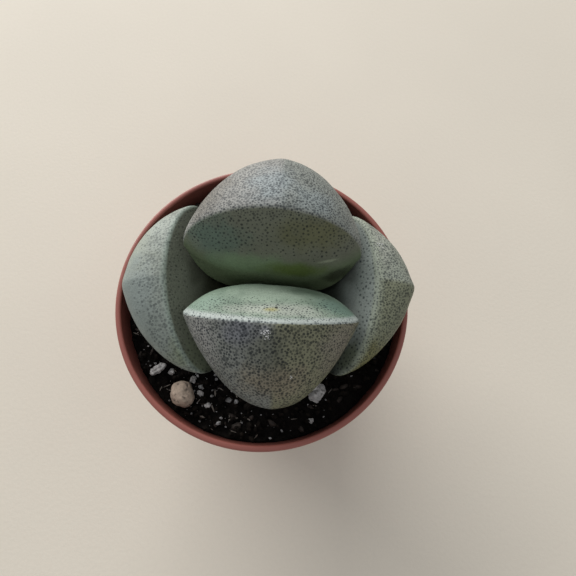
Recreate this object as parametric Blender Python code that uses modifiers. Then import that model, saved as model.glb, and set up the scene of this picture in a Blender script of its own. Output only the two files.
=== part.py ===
"""Potted split rock plant at real size, in metres, +Z up, with the origin under the middle of the pot.

Two pairs of thick half-round leaves stand crosswise on a short crown. The crown is set in dark soil, in a
round plastic nursery pot, with a pebble and grains of perlite on the soil.
"""
import math
import random
from dataclasses import dataclass

import bmesh
import bpy
import numpy as np
from mathutils import Matrix, Vector, noise
from mathutils.bvhtree import BVHTree

# Clearance between pieces that touch on the real thing
GAP = 0.0003

# Pot
POT_HEIGHT = 0.065
RIM_RADIUS = 0.0425
LIP_WIDTH = 0.0017
LIP_ROUND = 0.0006
COLLAR_HEIGHT = 0.0105
COLLAR_TAPER = 0.0005
COLLAR_STEP = 0.0013
WALL = 0.0012
BASE_RADIUS = 0.029
BASE_THICKNESS = 0.0014
FOOT_WIDTH = 0.0035
FOOT_RISE = 0.0022
FOOT_ROUND = 0.0012
DRAIN_RADIUS = 0.0035
DRAIN_CIRCLE = 0.0155
DRAIN_COUNT = 6
DRAIN_SIDES = 16
POT_SIDES = 64

# Soil, measured down from the rim
SOIL_DEPTH = 0.0072
SOIL_RELIEF = 0.0015
SOIL_LUMP = 0.0042
SOIL_SIDES = 72
SOIL_RINGS = 15
SOIL_CLEARANCE = 0.0005
SOIL_SEED = 4.7

# Crown, the short stem under the leaves, on the plant's own axis
PLANT_AXIS = (0.0023, 0.0022)
ROOT_DEPTH = 0.0100
CROWN_RADIUS = 0.0155
CROWN_SHOULDER = 0.0144
CROWN_TOP = 0.0078
CROWN_ROUND = 0.0012
CROWN_DEPTH = 0.0085
NECK_RADIUS = 0.0058
TAPROOT_DEPTH = 0.034
TAPROOT_TIP = 0.0012
CROWN_SIDES = 36
CROWN_RINGS = 6

# Leaves: points round the edge, rings on the inner face and rings on the outer side
LEAF_POINTS = 52
FACE_RINGS = 7
BACK_RINGS = 12


@dataclass
class LeafForm:
    """A half-round leaf in its own frame: s across, o outward from the plant's axis, z up from the rim.

    Its edge is a closed loop that splits the inner face, towards the other leaf of the pair, from the
    rounded outer side, which stands out furthest at the chin.
    """

    name: str
    heading: float  # degrees from +Y, counterclockwise, of the outward direction
    shift: tuple  # place of the leaf's own axis from the plant's axis
    half_width: float  # from the middle to a corner of the edge
    corner_z: float
    apex_z: float
    arch_power: float  # of the edge over its corners: 2 is an ellipse, less is more pointed
    lean: float  # degrees that the upper edge's plane leans outward
    face_slope: float  # degrees of the inner face's upper part from level
    cleft_z: float  # height where the inner face turns from upright to that slope
    face_start: float  # distance of the upright part from the axis
    face_power: float  # how far across the inner face stays level before it sweeps back to the corners
    neck_power: float  # of the edge under its corners: less is narrower
    neck_swing: float  # how soon the edge swings in under its corners
    chin_o: float
    chin_z: float
    chin_s: float
    core_o: float  # depth from which the outer side swells
    side_power: float  # fullness of the outer side: less is fuller
    upper_power: float
    under_power: float
    keel: float  # height of the ridge from the apex to the chin
    colour: tuple

    root_z = -ROOT_DEPTH
    knee = 0.003
    keel_width = 0.0030
    edge_depth = 5  # how close to the edge the outer side keeps to the edge's own swing

    def arch(self, z):
        """Height and power of the half loop that z lies in: over the corners, or under them."""
        over = z > self.corner_z
        height = np.where(over, self.apex_z - self.corner_z, self.corner_z - self.root_z)
        return height, np.where(over, self.arch_power, self.neck_power)

    def half_at(self, z):
        """Half width of the edge loop at height z."""
        height, power = self.arch(z)
        share = np.clip(np.abs(z - self.corner_z) / height, 0, 1)
        return self.half_width * (1 - share**power) ** (1 / power)

    def middle_at(self, z):
        """Outward place of the inner face's middle line at height z."""
        run = (z - self.cleft_z) / math.tan(math.radians(self.face_slope))
        return self.face_start + 0.5 * (run + np.sqrt(run * run + self.knee**2))

    def plane_at(self, z):
        """Outward place at height z of the leaning plane that holds the upper edge."""
        return self.middle_at(self.apex_z) + (z - self.apex_z) * math.tan(math.radians(self.lean))

    def edge_at(self, z):
        """Outward place of the edge at height z: in its plane over the corners, swinging in under them."""
        root = self.middle_at(self.root_z)
        span = self.corner_z - self.root_z
        depth = self.plane_at(self.corner_z) - root
        up = np.clip((z - self.root_z) / span, 0, 1)
        rise = math.tan(math.radians(self.lean)) * span / depth
        swing = up**self.neck_swing * (1 + (self.neck_swing - rise) * (1 - up))
        return np.where(z > self.corner_z, self.plane_at(z), root + depth * swing)

    def face_at(self, s, z):
        """Outward place of the inner face: level near the middle, swept back to the edge at its sides."""
        half = self.half_at(z)
        across = np.where(half > 1e-7, np.clip(np.abs(s) / np.maximum(half, 1e-7), 0, 1), 1.0)
        middle = self.middle_at(z)
        return middle + (self.edge_at(z) - middle) * across**self.face_power

    def rings(self, points, face_rings, back_rings):
        """Rings of points from the middle of the inner face over the edge to the chin, with both ends."""
        turn = np.linspace(0, 2 * math.pi, points, endpoint=False)
        across, up = np.cos(turn), np.sin(turn)
        height, power = self.arch(self.corner_z + up)
        edge_s = self.half_width * np.sign(across) * np.abs(across) ** (2 / power)
        edge_z = self.corner_z + height * np.sign(up) * np.abs(up) ** (2 / power)
        edge = np.stack([edge_s, self.edge_at(edge_z), edge_z], 1)
        plain_s = self.half_width * np.sign(across) * np.abs(across) ** (2 / self.arch_power)
        plain = np.stack([plain_s, self.plane_at(edge_z), edge_z], 1)
        found = []
        for k in range(1, face_rings):
            s = edge_s * k / face_rings
            z = self.corner_z + (edge_z - self.corner_z) * k / face_rings
            found.append(np.stack([s, self.face_at(s, z), z], 1))
        found.append(edge)
        core = np.array([self.chin_s, self.core_o, self.chin_z])
        swell = np.array([0, self.chin_o - self.core_o, 0])
        upright = np.where(up > 0, self.upper_power, self.under_power)
        fullness = self.side_power * across**2 + upright * up**2
        for k in range(back_rings - 1, 0, -1):
            reach = math.sin(k / back_rings * math.pi / 2)
            ring = core + (plain - core) * reach + np.outer((1 - reach**2) ** fullness, swell)
            ring += (edge - plain) * reach**self.edge_depth
            offset = ring[:, 0] - self.chin_s * (1 - reach)
            ridge = self.keel * np.exp(-((offset / self.keel_width) ** 2)) * np.clip(up, 0, 1) ** 2
            ring[:, 1:] += (ridge * math.sin(reach * math.pi) ** 0.5)[:, None] * math.sqrt(0.5)
            found.append(ring)
        first = np.array([0, float(self.middle_at(self.corner_z)), self.corner_z])
        return first, found, core + swell

    def to_world(self, points):
        """Points of the leaf's frame in the pot's frame."""
        a = math.radians(self.heading)
        out = np.array([-math.sin(a), math.cos(a), 0])
        side = np.array([math.cos(a), math.sin(a), 0])
        axis = np.array([PLANT_AXIS[0] + self.shift[0], PLANT_AXIS[1] + self.shift[1], POT_HEIGHT])
        points = np.atleast_2d(points)
        return axis + points[:, :1] * side + points[:, 1:2] * out + points[:, 2:] * np.array([0, 0, 1])


INNER = dict(
    arch_power=1.9, cleft_z=0.0087, face_start=0.00035, face_power=3.5, neck_swing=6,
    chin_z=0.0026, core_o=0.0090, under_power=0.5,
)
OUTER = dict(
    corner_z=0.0015, apex_z=0.0105, arch_power=1.8, lean=43, face_slope=45, cleft_z=-0.0050,
    face_start=0.0135, face_power=2.5, neck_power=1.8, neck_swing=2.5, core_o=0.0240,
    upper_power=0.5, under_power=0.5,
)
LEAVES = (
    LeafForm(
        name="leaf_back", heading=0.6, shift=(-0.0003, 0.0006), half_width=0.0252, corner_z=0.0079,
        apex_z=0.0239, neck_power=1.2, chin_o=0.0368, chin_s=0.0016, side_power=0.67, upper_power=0.62,
        keel=0.0003, lean=18.8, face_slope=48.8, colour=(0.30, 0.36, 0.31), **INNER,
    ),
    LeafForm(
        name="leaf_front", heading=181.9, shift=(0.0006, 0.0006), half_width=0.0234, corner_z=0.0096,
        apex_z=0.0236, neck_power=0.86, chin_o=0.0337, chin_s=-0.0012, side_power=0.98, upper_power=0.95,
        keel=0.0003, lean=19.4, face_slope=44.5, colour=(0.27, 0.31, 0.26), **INNER,
    ),
    LeafForm(
        name="leaf_left", heading=100, shift=(0, 0.0030), half_width=0.0255,
        chin_o=0.0406, chin_z=0.0022, chin_s=0.0006, side_power=0.60, keel=0.0003,
        colour=(0.26, 0.33, 0.29), **OUTER,
    ),
    LeafForm(
        name="leaf_right", heading=-91, shift=(0, 0.0012), half_width=0.0243,
        chin_o=0.0384, chin_z=0.0026, chin_s=-0.0016, side_power=0.74, keel=0.0006,
        colour=(0.28, 0.33, 0.26), **OUTER,
    ),
)

# Loose pieces on the soil: name, place from the pot's axis, length, width, height, heading in degrees
PEBBLE = ("pebble", (-0.0201, -0.0290), (0.0064, 0.0072, 0.0056), 20)
PERLITE_SEEN = (
    ((0.0174, -0.0257), (0.0052, 0.0043, 0.0036), 70),
    ((-0.0284, -0.0225), (0.0044, 0.0023, 0.0022), 40),
    ((-0.0246, -0.0230), (0.0017, 0.0012, 0.0012), 10),
    ((-0.0180, -0.0247), (0.0018, 0.0014, 0.0013), 80),
    ((-0.0153, -0.0284), (0.0020, 0.0013, 0.0013), 150),
    ((-0.0129, -0.0314), (0.0016, 0.0012, 0.0011), 20),
    ((0.0166, -0.0334), (0.0015, 0.0012, 0.0011), 60),
)
PERLITE_HIDDEN = 5
PERLITE_SEED = 11
GRAIN_RADIUS = 0.0355


def clear_scene():
    for thing in list(bpy.data.objects):
        bpy.data.objects.remove(thing, do_unlink=True)


def make_collection(name):
    collection = bpy.data.collections.new(name)
    bpy.context.scene.collection.children.link(collection)
    return collection


def make_material(name, colour, roughness):
    material = bpy.data.materials.new(name)
    material.use_nodes = True
    shader = material.node_tree.nodes["Principled BSDF"]
    shader.inputs["Base Color"].default_value = (*colour, 1)
    shader.inputs["Roughness"].default_value = roughness
    shader.inputs["Metallic"].default_value = 0.0
    return material


def add_object(name, mesh, collection, colour, roughness):
    thing = bpy.data.objects.new(name, mesh)
    mesh.materials.append(make_material(name, colour, roughness))
    collection.objects.link(thing)
    mesh.shade_smooth()
    mesh.set_sharp_from_angle(angle=math.radians(35))
    return thing


def circle(centre, radius, height, sides):
    """Points evenly round an upright axis."""
    turn = [2 * math.pi * k / sides for k in range(sides)]
    return [(centre[0] + radius * math.cos(a), centre[1] + radius * math.sin(a), height) for a in turn]


def skin_rings(name, first, rings, last):
    """A closed mesh through rings of equal length, with a single point at each end."""
    work = bmesh.new()
    start = work.verts.new(first)
    loops = [[work.verts.new(point) for point in ring] for ring in rings]
    end = work.verts.new(last)
    count = len(loops[0])
    for j in range(count):
        k = (j + 1) % count
        work.faces.new((start, loops[0][k], loops[0][j]))
        work.faces.new((end, loops[-1][j], loops[-1][k]))
        for near, far in zip(loops, loops[1:]):
            work.faces.new((near[j], near[k], far[k], far[j]))
    bmesh.ops.recalc_face_normals(work, faces=work.faces)
    mesh = bpy.data.meshes.new(name)
    work.to_mesh(mesh)
    work.free()
    return mesh


def quarter_round(centre, radius, start, stop, steps=4):
    """Points of an arc in the profile's plane, from one angle to another in degrees."""
    angles = [math.radians(start + (stop - start) * k / steps) for k in range(steps + 1)]
    return [(centre[0] + radius * math.cos(a), centre[1] + radius * math.sin(a)) for a in angles]


def turned_object(name, profile, sides, collection, colour, roughness):
    """A profile of (radius, height) pairs turned about the Z axis, with both its ends on the axis."""
    mesh = bpy.data.meshes.new(name)
    points = [(radius, 0, height) for radius, height in profile]
    mesh.from_pydata(points, [(k, k + 1) for k in range(len(points) - 1)], [])
    thing = bpy.data.objects.new(name, mesh)
    mesh.materials.append(make_material(name, colour, roughness))
    collection.objects.link(thing)
    screw = thing.modifiers.new("turn", "SCREW")
    screw.steps = sides
    screw.render_steps = sides
    screw.use_merge_vertices = True
    screw.merge_threshold = 0.00001
    screw.use_smooth_shade = True
    return thing


def wall_radius(z):
    """Outer radius of the pot's wall under the collar at height z."""
    top = RIM_RADIUS - COLLAR_TAPER - COLLAR_STEP
    return BASE_RADIUS + (top - BASE_RADIUS) * z / (POT_HEIGHT - COLLAR_HEIGHT)


def inner_radius(z):
    """Inner radius of the pot at height z over its floor."""
    if z > POT_HEIGHT - COLLAR_HEIGHT - WALL:
        down = (POT_HEIGHT - z) / COLLAR_HEIGHT
        return RIM_RADIUS - LIP_WIDTH - COLLAR_TAPER * down
    return wall_radius(z) - WALL


def pot_profile():
    """The wall's section: floor, inner wall, lip, collar, outer wall, foot and underside."""
    floor = FOOT_RISE + BASE_THICKNESS
    shoulder = POT_HEIGHT - COLLAR_HEIGHT
    step = shoulder - WALL
    slope_top = step - COLLAR_STEP
    inside = [(0, floor), (inner_radius(floor) - FOOT_ROUND, floor)]
    inside += quarter_round((inner_radius(floor) - FOOT_ROUND, floor + FOOT_ROUND), FOOT_ROUND, -90, 0)[1:]
    inside += [(inner_radius(slope_top), slope_top), (inner_radius(step + GAP), step + GAP)]
    lip_in = quarter_round((RIM_RADIUS - LIP_WIDTH + LIP_ROUND, POT_HEIGHT - LIP_ROUND), LIP_ROUND, 180, 90)
    lip_out = quarter_round((RIM_RADIUS - LIP_ROUND, POT_HEIGHT - LIP_ROUND), LIP_ROUND, 90, 0)
    skirt = RIM_RADIUS - COLLAR_TAPER
    collar = [(skirt, shoulder + LIP_ROUND)]
    collar += quarter_round((skirt - LIP_ROUND, shoulder + LIP_ROUND), LIP_ROUND, 0, -90, 3)[1:]
    collar += [(wall_radius(shoulder), shoulder)]
    outside = quarter_round((BASE_RADIUS - FOOT_ROUND, FOOT_ROUND), FOOT_ROUND, 0, -90)
    foot = BASE_RADIUS - FOOT_WIDTH
    underside = [(foot, 0), (foot - FOOT_RISE / 2, FOOT_RISE), (0, FOOT_RISE)]
    return inside + lip_in + lip_out + collar + outside + underside


def make_pot(collection, cutters):
    pot = turned_object("pot", pot_profile(), POT_SIDES, collection, (0.30, 0.105, 0.075), 0.5)
    holes = [(0, 0)]
    for k in range(DRAIN_COUNT):
        a = 2 * math.pi * k / DRAIN_COUNT
        holes.append((DRAIN_CIRCLE * math.cos(a), DRAIN_CIRCLE * math.sin(a)))
    work = bmesh.new()
    for x, y in holes:
        bmesh.ops.create_cone(
            work, cap_ends=True, segments=DRAIN_SIDES, radius1=DRAIN_RADIUS, radius2=DRAIN_RADIUS,
            depth=8 * BASE_THICKNESS, matrix=Matrix.Translation((x, y, FOOT_RISE)),
        )
    mesh = bpy.data.meshes.new("drain_cutter")
    work.to_mesh(mesh)
    work.free()
    cutter = bpy.data.objects.new("drain_cutter", mesh)
    cutters.objects.link(cutter)
    cutter.hide_render = True
    cutter.display_type = "WIRE"
    cut = pot.modifiers.new("drain holes", "BOOLEAN")
    cut.operation = "DIFFERENCE"
    cut.object = cutter
    return pot


def make_leaf(form, collection):
    first, rings, last = form.rings(LEAF_POINTS, FACE_RINGS, BACK_RINGS)
    rings = [form.to_world(ring) for ring in rings]
    mesh = skin_rings(form.name, form.to_world(first)[0], rings, form.to_world(last)[0])
    return add_object(form.name, mesh, collection, form.colour, 0.55)


def join_tree(things):
    """A search tree over the surfaces of several pieces."""
    work = bmesh.new()
    for thing in things:
        work.from_mesh(thing.data)
    tree = BVHTree.FromBMesh(work)
    work.free()
    return tree


def lowest_over(tree, x, y, radius):
    """Height of the lowest leaf surface over a spot and around it."""
    lowest = POT_HEIGHT
    for spot in [(x, y, 0), *circle((x, y), radius, 0, 8)]:
        hit = tree.ray_cast(Vector(spot), Vector((0, 0, 1)))[0]
        if hit is not None:
            lowest = min(lowest, hit.z)
    return lowest


def crown_side():
    """The crown's side, from its widest place under the leaves down to the tip of the tap root."""
    top = POT_HEIGHT - ROOT_DEPTH - GAP - CROWN_ROUND
    side = [(CROWN_RADIUS, top)]
    for k in range(1, 6):
        down = k / 5
        radius = NECK_RADIUS + (CROWN_RADIUS - NECK_RADIUS) * (1 - math.sin(down * math.pi / 2))
        side.append((radius, top - CROWN_DEPTH * down))
    for k in range(1, 3):
        down = k / 2
        radius = NECK_RADIUS + (TAPROOT_TIP - NECK_RADIUS) * down
        side.append((radius, top - CROWN_DEPTH - (TAPROOT_DEPTH - CROWN_DEPTH) * down))
    return side


def crown_tip():
    """Height of the tap root's point."""
    return crown_side()[-1][1] - TAPROOT_TIP * 0.5


def make_crown(leaf_tree, collection):
    """A short stem whose top is a shallow cradle for the undersides of the four leaves."""
    cell = CROWN_SHOULDER / CROWN_RINGS
    level = POT_HEIGHT - CROWN_TOP

    def seat(x, y):
        lowest = min(lowest_over(leaf_tree, x, y, reach) for reach in (cell, cell / 2))
        return min(level, lowest - GAP)

    rings = []
    for k in range(1, CROWN_RINGS + 1):
        rings.append([(x, y, seat(x, y)) for x, y, z in circle(PLANT_AXIS, cell * k, level, CROWN_SIDES)])
    rings += [circle(PLANT_AXIS, radius, height, CROWN_SIDES) for radius, height in crown_side()]
    mesh = skin_rings("crown", (*PLANT_AXIS, seat(*PLANT_AXIS)), rings, (*PLANT_AXIS, crown_tip()))
    return add_object("crown", mesh, collection, (0.20, 0.16, 0.08), 0.8)


def soil_relief(x, y):
    """Height of the open soil over the base of the pot, with lumps of two sizes."""
    spot = Vector((x / SOIL_LUMP, y / SOIL_LUMP, SOIL_SEED))
    lumps = noise.noise(spot) + 0.5 * noise.noise(spot * 2.3)
    return POT_HEIGHT - SOIL_DEPTH + SOIL_RELIEF * lumps


def soil_rings(leaf_tree):
    """Rings from the middle of the crown's socket to the pot's wall, then down it and in under the soil."""
    socket = [(radius + GAP, height - GAP) for radius, height in reversed(crown_side())]
    socket_top = socket[-1][0] + GAP
    outer = inner_radius(POT_HEIGHT - SOIL_DEPTH) - GAP
    cell = (outer - socket_top) / SOIL_RINGS
    rings = []
    for radius, height in socket:
        rings.append(circle(PLANT_AXIS, radius, height, SOIL_SIDES))
    for k in range(SOIL_RINGS + 1):
        out = k / SOIL_RINGS
        centre = (PLANT_AXIS[0] * (1 - out), PLANT_AXIS[1] * (1 - out))
        ring = []
        for x, y, z in circle(centre, socket_top + cell * k, POT_HEIGHT, SOIL_SIDES):
            under_leaf = lowest_over(leaf_tree, x, y, cell * 0.9) - SOIL_CLEARANCE
            ring.append((x, y, min(soil_relief(x, y), under_leaf)))
        rings.append(ring)
    floor = FOOT_RISE + BASE_THICKNESS + GAP
    for height in (POT_HEIGHT - COLLAR_HEIGHT - WALL - COLLAR_STEP, floor + FOOT_ROUND, floor):
        radius = inner_radius(height) - GAP * 1.5
        if height == floor:
            radius -= FOOT_ROUND
        rings.append(circle((0, 0), radius, height, SOIL_SIDES))
    return (*PLANT_AXIS, crown_tip() - GAP * 2), rings, (0, 0, floor)


def make_soil(leaf_tree, collection):
    mesh = skin_rings("soil", *soil_rings(leaf_tree))
    return add_object("soil", mesh, collection, (0.020, 0.016, 0.013), 0.95)


def soil_top_under(soil_tree, x, y, radius):
    """Height of the highest soil within a radius of a spot."""
    highest = 0
    for reach in (0, 0.5, 1.0):
        for spot in circle((x, y), radius * reach, POT_HEIGHT, 12):
            hit = soil_tree.ray_cast(Vector(spot), Vector((0, 0, -1)))[0]
            if hit is not None:
                highest = max(highest, hit.z)
    return highest


def make_stone(name, place, size, heading, soil_tree, collection, colour, roughness, lump, detail):
    """A lumpy stone on the soil: a round form pushed in and out by noise, with a flat underside."""
    work = bmesh.new()
    bmesh.ops.create_icosphere(work, subdivisions=detail, radius=0.5)
    seed = Vector((place[0] * 1000, place[1] * 1000, 3.1))
    flat = -0.36
    for vert in work.verts:
        vert.co *= 1 + lump * noise.noise(vert.co * 2.6 + seed)
        vert.co.z = max(vert.co.z, flat)
    bmesh.ops.scale(work, vec=size, verts=work.verts)
    base = soil_top_under(soil_tree, place[0], place[1], max(size[:2]) * 0.4) + GAP - flat * size[2]
    turn = Matrix.Rotation(math.radians(heading), 4, "Z")
    work.transform(Matrix.Translation((place[0], place[1], base)) @ turn)
    mesh = bpy.data.meshes.new(name)
    work.to_mesh(mesh)
    work.free()
    return add_object(name, mesh, collection, colour, roughness)


def hidden_grains():
    """Grains at the back of the pot, in the two open corners between the leaves and the wall."""
    draw = random.Random(PERLITE_SEED)
    grains = []
    for k in range(PERLITE_HIDDEN):
        corner = math.radians(45 if k % 2 else 135) + draw.uniform(-0.22, 0.22)
        radius = GRAIN_RADIUS + draw.uniform(-0.0012, 0.0012)
        length = draw.uniform(0.0014, 0.0030)
        size = (length, length * draw.uniform(0.6, 0.85), length * draw.uniform(0.55, 0.75))
        grains.append(((radius * math.cos(corner), radius * math.sin(corner)), size, draw.uniform(0, 180)))
    return grains


def make_loose_pieces(soil, collection):
    tree = join_tree([soil])
    name, place, size, heading = PEBBLE
    make_stone(name, place, size, heading, tree, collection, (0.42, 0.31, 0.24), 0.7, 0.16, 3)
    for k, (place, size, heading) in enumerate([*PERLITE_SEEN, *hidden_grains()], 1):
        detail = 3 if max(size) > 0.004 else 2
        colour = (0.62, 0.60, 0.58)
        make_stone(f"perlite_{k}", place, size, heading, tree, collection, colour, 0.9, 0.34, detail)


def main():
    clear_scene()
    collection = make_collection("potted_split_rock")
    cutters = make_collection("cutters")
    make_pot(collection, cutters)
    leaf_tree = join_tree([make_leaf(form, collection) for form in LEAVES])
    make_crown(leaf_tree, collection)
    soil = make_soil(leaf_tree, collection)
    make_loose_pieces(soil, collection)


main()
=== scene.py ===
"""Potted split rock plant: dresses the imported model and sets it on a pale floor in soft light.

The file is laid out as an add-on and run as a script. Each operator makes one group of pieces, and the
panel lists them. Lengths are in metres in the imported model's frame, with +Z up and the origin under the pot.
"""
import math
import random
from dataclasses import dataclass

import bmesh
import bpy
import numpy as np
from bpy.props import FloatProperty, FloatVectorProperty, IntProperty, PointerProperty
from mathutils import Matrix, Vector, noise
from mathutils.bvhtree import BVHTree
from mathutils.kdtree import KDTree


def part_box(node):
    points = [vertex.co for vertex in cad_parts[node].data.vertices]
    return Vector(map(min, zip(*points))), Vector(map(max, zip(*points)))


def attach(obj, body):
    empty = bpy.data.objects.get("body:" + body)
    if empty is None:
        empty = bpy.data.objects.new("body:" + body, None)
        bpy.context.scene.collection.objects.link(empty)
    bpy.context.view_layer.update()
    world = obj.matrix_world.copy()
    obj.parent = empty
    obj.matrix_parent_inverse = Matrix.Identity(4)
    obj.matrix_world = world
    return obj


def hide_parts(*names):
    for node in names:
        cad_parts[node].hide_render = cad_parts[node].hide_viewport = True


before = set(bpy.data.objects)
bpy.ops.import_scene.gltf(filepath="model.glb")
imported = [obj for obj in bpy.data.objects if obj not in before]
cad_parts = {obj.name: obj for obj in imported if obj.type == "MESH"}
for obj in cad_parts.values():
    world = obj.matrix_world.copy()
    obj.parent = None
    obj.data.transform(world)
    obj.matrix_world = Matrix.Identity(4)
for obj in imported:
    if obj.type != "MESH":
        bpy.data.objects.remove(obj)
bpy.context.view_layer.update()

bl_info = {
    "name": "Potted split rock",
    "version": (1, 0, 0),
    "blender": (4, 5, 0),
    "location": "3D View > Sidebar > Split rock",
    "description": "Dresses a split rock plant in a nursery pot",
    "category": "Object",
}

BODY = "root"
MM = 0.001

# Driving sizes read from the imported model
POT_LOW, POT_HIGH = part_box("pot")
POT_HEIGHT = POT_HIGH[2]
RIM_RADIUS = (POT_HIGH[0] - POT_LOW[0]) / 2
CROWN_LOW, CROWN_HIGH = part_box("crown")
PLANT_AXIS = ((CROWN_LOW[0] + CROWN_HIGH[0]) / 2, (CROWN_LOW[1] + CROWN_HIGH[1]) / 2)

# Pot wall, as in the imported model
LIP_WIDTH = 0.0017
LIP_ROUND = 0.0007
COLLAR_HEIGHT = 0.0105
COLLAR_TAPER = 0.0005
COLLAR_STEP = 0.0013
WALL = 0.0012
BASE_RADIUS = 0.029
BASE_THICKNESS = 0.0014
FOOT_WIDTH = 0.0035
FOOT_RISE = 0.0022
FOOT_ROUND = 0.0012
DRAIN_RADIUS = 0.0035
DRAIN_CIRCLE = 0.0155
DRAIN_COUNT = 6
DRAIN_SIDES = 48
GAP = 0.0003
SHARP_ANGLE = 40

# Soil, measured down from the rim
SOIL_DEPTH = 0.0072
SOIL_RELIEF = 0.0015
SOIL_LUMP = 0.0042
SOIL_SEED = 4.7
SOIL_CLEARANCE = 0.0005
SOIL_SIDES = 400
SOIL_RINGS = 100

# Camera of the photograph, in the frame of the model, and its lens for a square picture
CAMERA_PLACE = (0.0071, -0.0348, POT_HEIGHT + 0.1212)
CAMERA_PITCH = 17.41
CAMERA_ROLL = 4.63
CAMERA_LENS = 27.06
CAMERA_SENSOR = 36
CAMERA_NEAREST = 0.005

# Light from a window and from all round. The heading runs counterclockwise from +Y
WINDOW_HEADING = 30
WINDOW_ELEVATION = 22
WINDOW_DISTANCE = 1.8
WINDOW_SIZE = (2.0, 1.3)
WINDOW_COLOUR = (1.0, 0.993, 0.99)
SKY_COLOUR = (0.95, 0.97, 1.0, 1)
FLOOR_HALF = 2.0

# Leaf meshes: how many lines run from the middle of the face to the chin, the rings they are worked out
# from, the distances from the edge of their closest stations, and how many stations fill the rest
LEAF_POINTS = 280
FACE_RINGS = 60
BACK_RINGS = 90
NEAR_EDGE = (0.00016, 0.00032, 0.00052, 0.00078, 0.0011)
FACE_STATIONS = 34
BACK_STATIONS = 78
LEAST_ROUND = 0.00005

# Skin: noise waves to the metre, the height of the quick ones as a share of the slow ones, the width of the
# crease along the keel, how softly the painted light and shade on the keel's two sides meet at the keel, how
# softly colours meet at the edge, and the depth of the grain
SLOW_WAVES = 95
QUICK_WAVES = 310
QUICK_SHARE = 0.22
CREASE_WIDTH = 0.0028
KEEL_BORDER = 0.0009
EDGE_BORDER = 0.0002
SKIN_RELIEF = 0.00010

# Dots: those that a face of the mesh holds, the places tried for each one, how much their sizes and gaps
# vary, the gap from which they grow no more, and how far their outlines wander
DOT_NAMES = ("dot_a", "dot_b", "dot_c", "dot_d")
TRIES_PER_DOT = 7
DOT_SIZES = (0.6, 1.3)
DOT_GAPS = (0.72, 1.38)
WIDEST_GAP = 0.0008
DOT_RAGGEDNESS = 0.00030

# Loose bits keep off the wall, pale ones gather round a heading, and those at known places are lifted
BITS_MARGIN = 0.0008
GRIT_HEADING = -118
GRIT_SPREAD = 42
SEEN_LIFT = 0.0004

# Sizes of the loose bits: for grains the least, the span and how rare large ones are, else least and most.
# Bark and splinters rest a fixed height over the soil
CRUMB_SIZES = (0.0005, 0.0016, 3)
GRIT_SIZES = (0.00025, 0.0009, 2.5)
BARK_LENGTHS = (0.0012, 0.0036)
SPLINTER_LENGTHS = (0.0010, 0.0026)
SPLINTER_WIDTH = 0.00028
SPLINTER_HEIGHT = 0.00022
BARK_LIFT = 0.0003
SPLINTER_LIFT = 0.0004
RESIDUE_SIZES = (0.00018, 0.00050)

# Colours of the crown, the stones and the loose bits, of the painted shade down the pot's inner wall, of the
# dust on the pot and the stones, and of the stones' darker hollows
CROWN_COLOUR = (0.10, 0.11, 0.045)
PEBBLE_COLOUR = (0.50, 0.39, 0.30)
PERLITE_COLOUR = (0.58, 0.56, 0.54)
PEAT_COLOUR = (0.010, 0.0075, 0.0055)
BARK_COLOUR = (0.036, 0.027, 0.022)
GRIT_COLOUR = (0.34, 0.335, 0.33)
SPLINTER_COLOUR = (0.25, 0.22, 0.19)
RESIDUE_COLOUR = (0.66, 0.66, 0.65)
INNER_WALL_SHADE = (0.045, 0.014, 0.010)
POT_DUST = (0.03, 0.022, 0.018)
STONE_DUST = (0.05, 0.04, 0.035)
STONE_HOLLOWS = (0.11, 0.09, 0.075)


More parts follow.
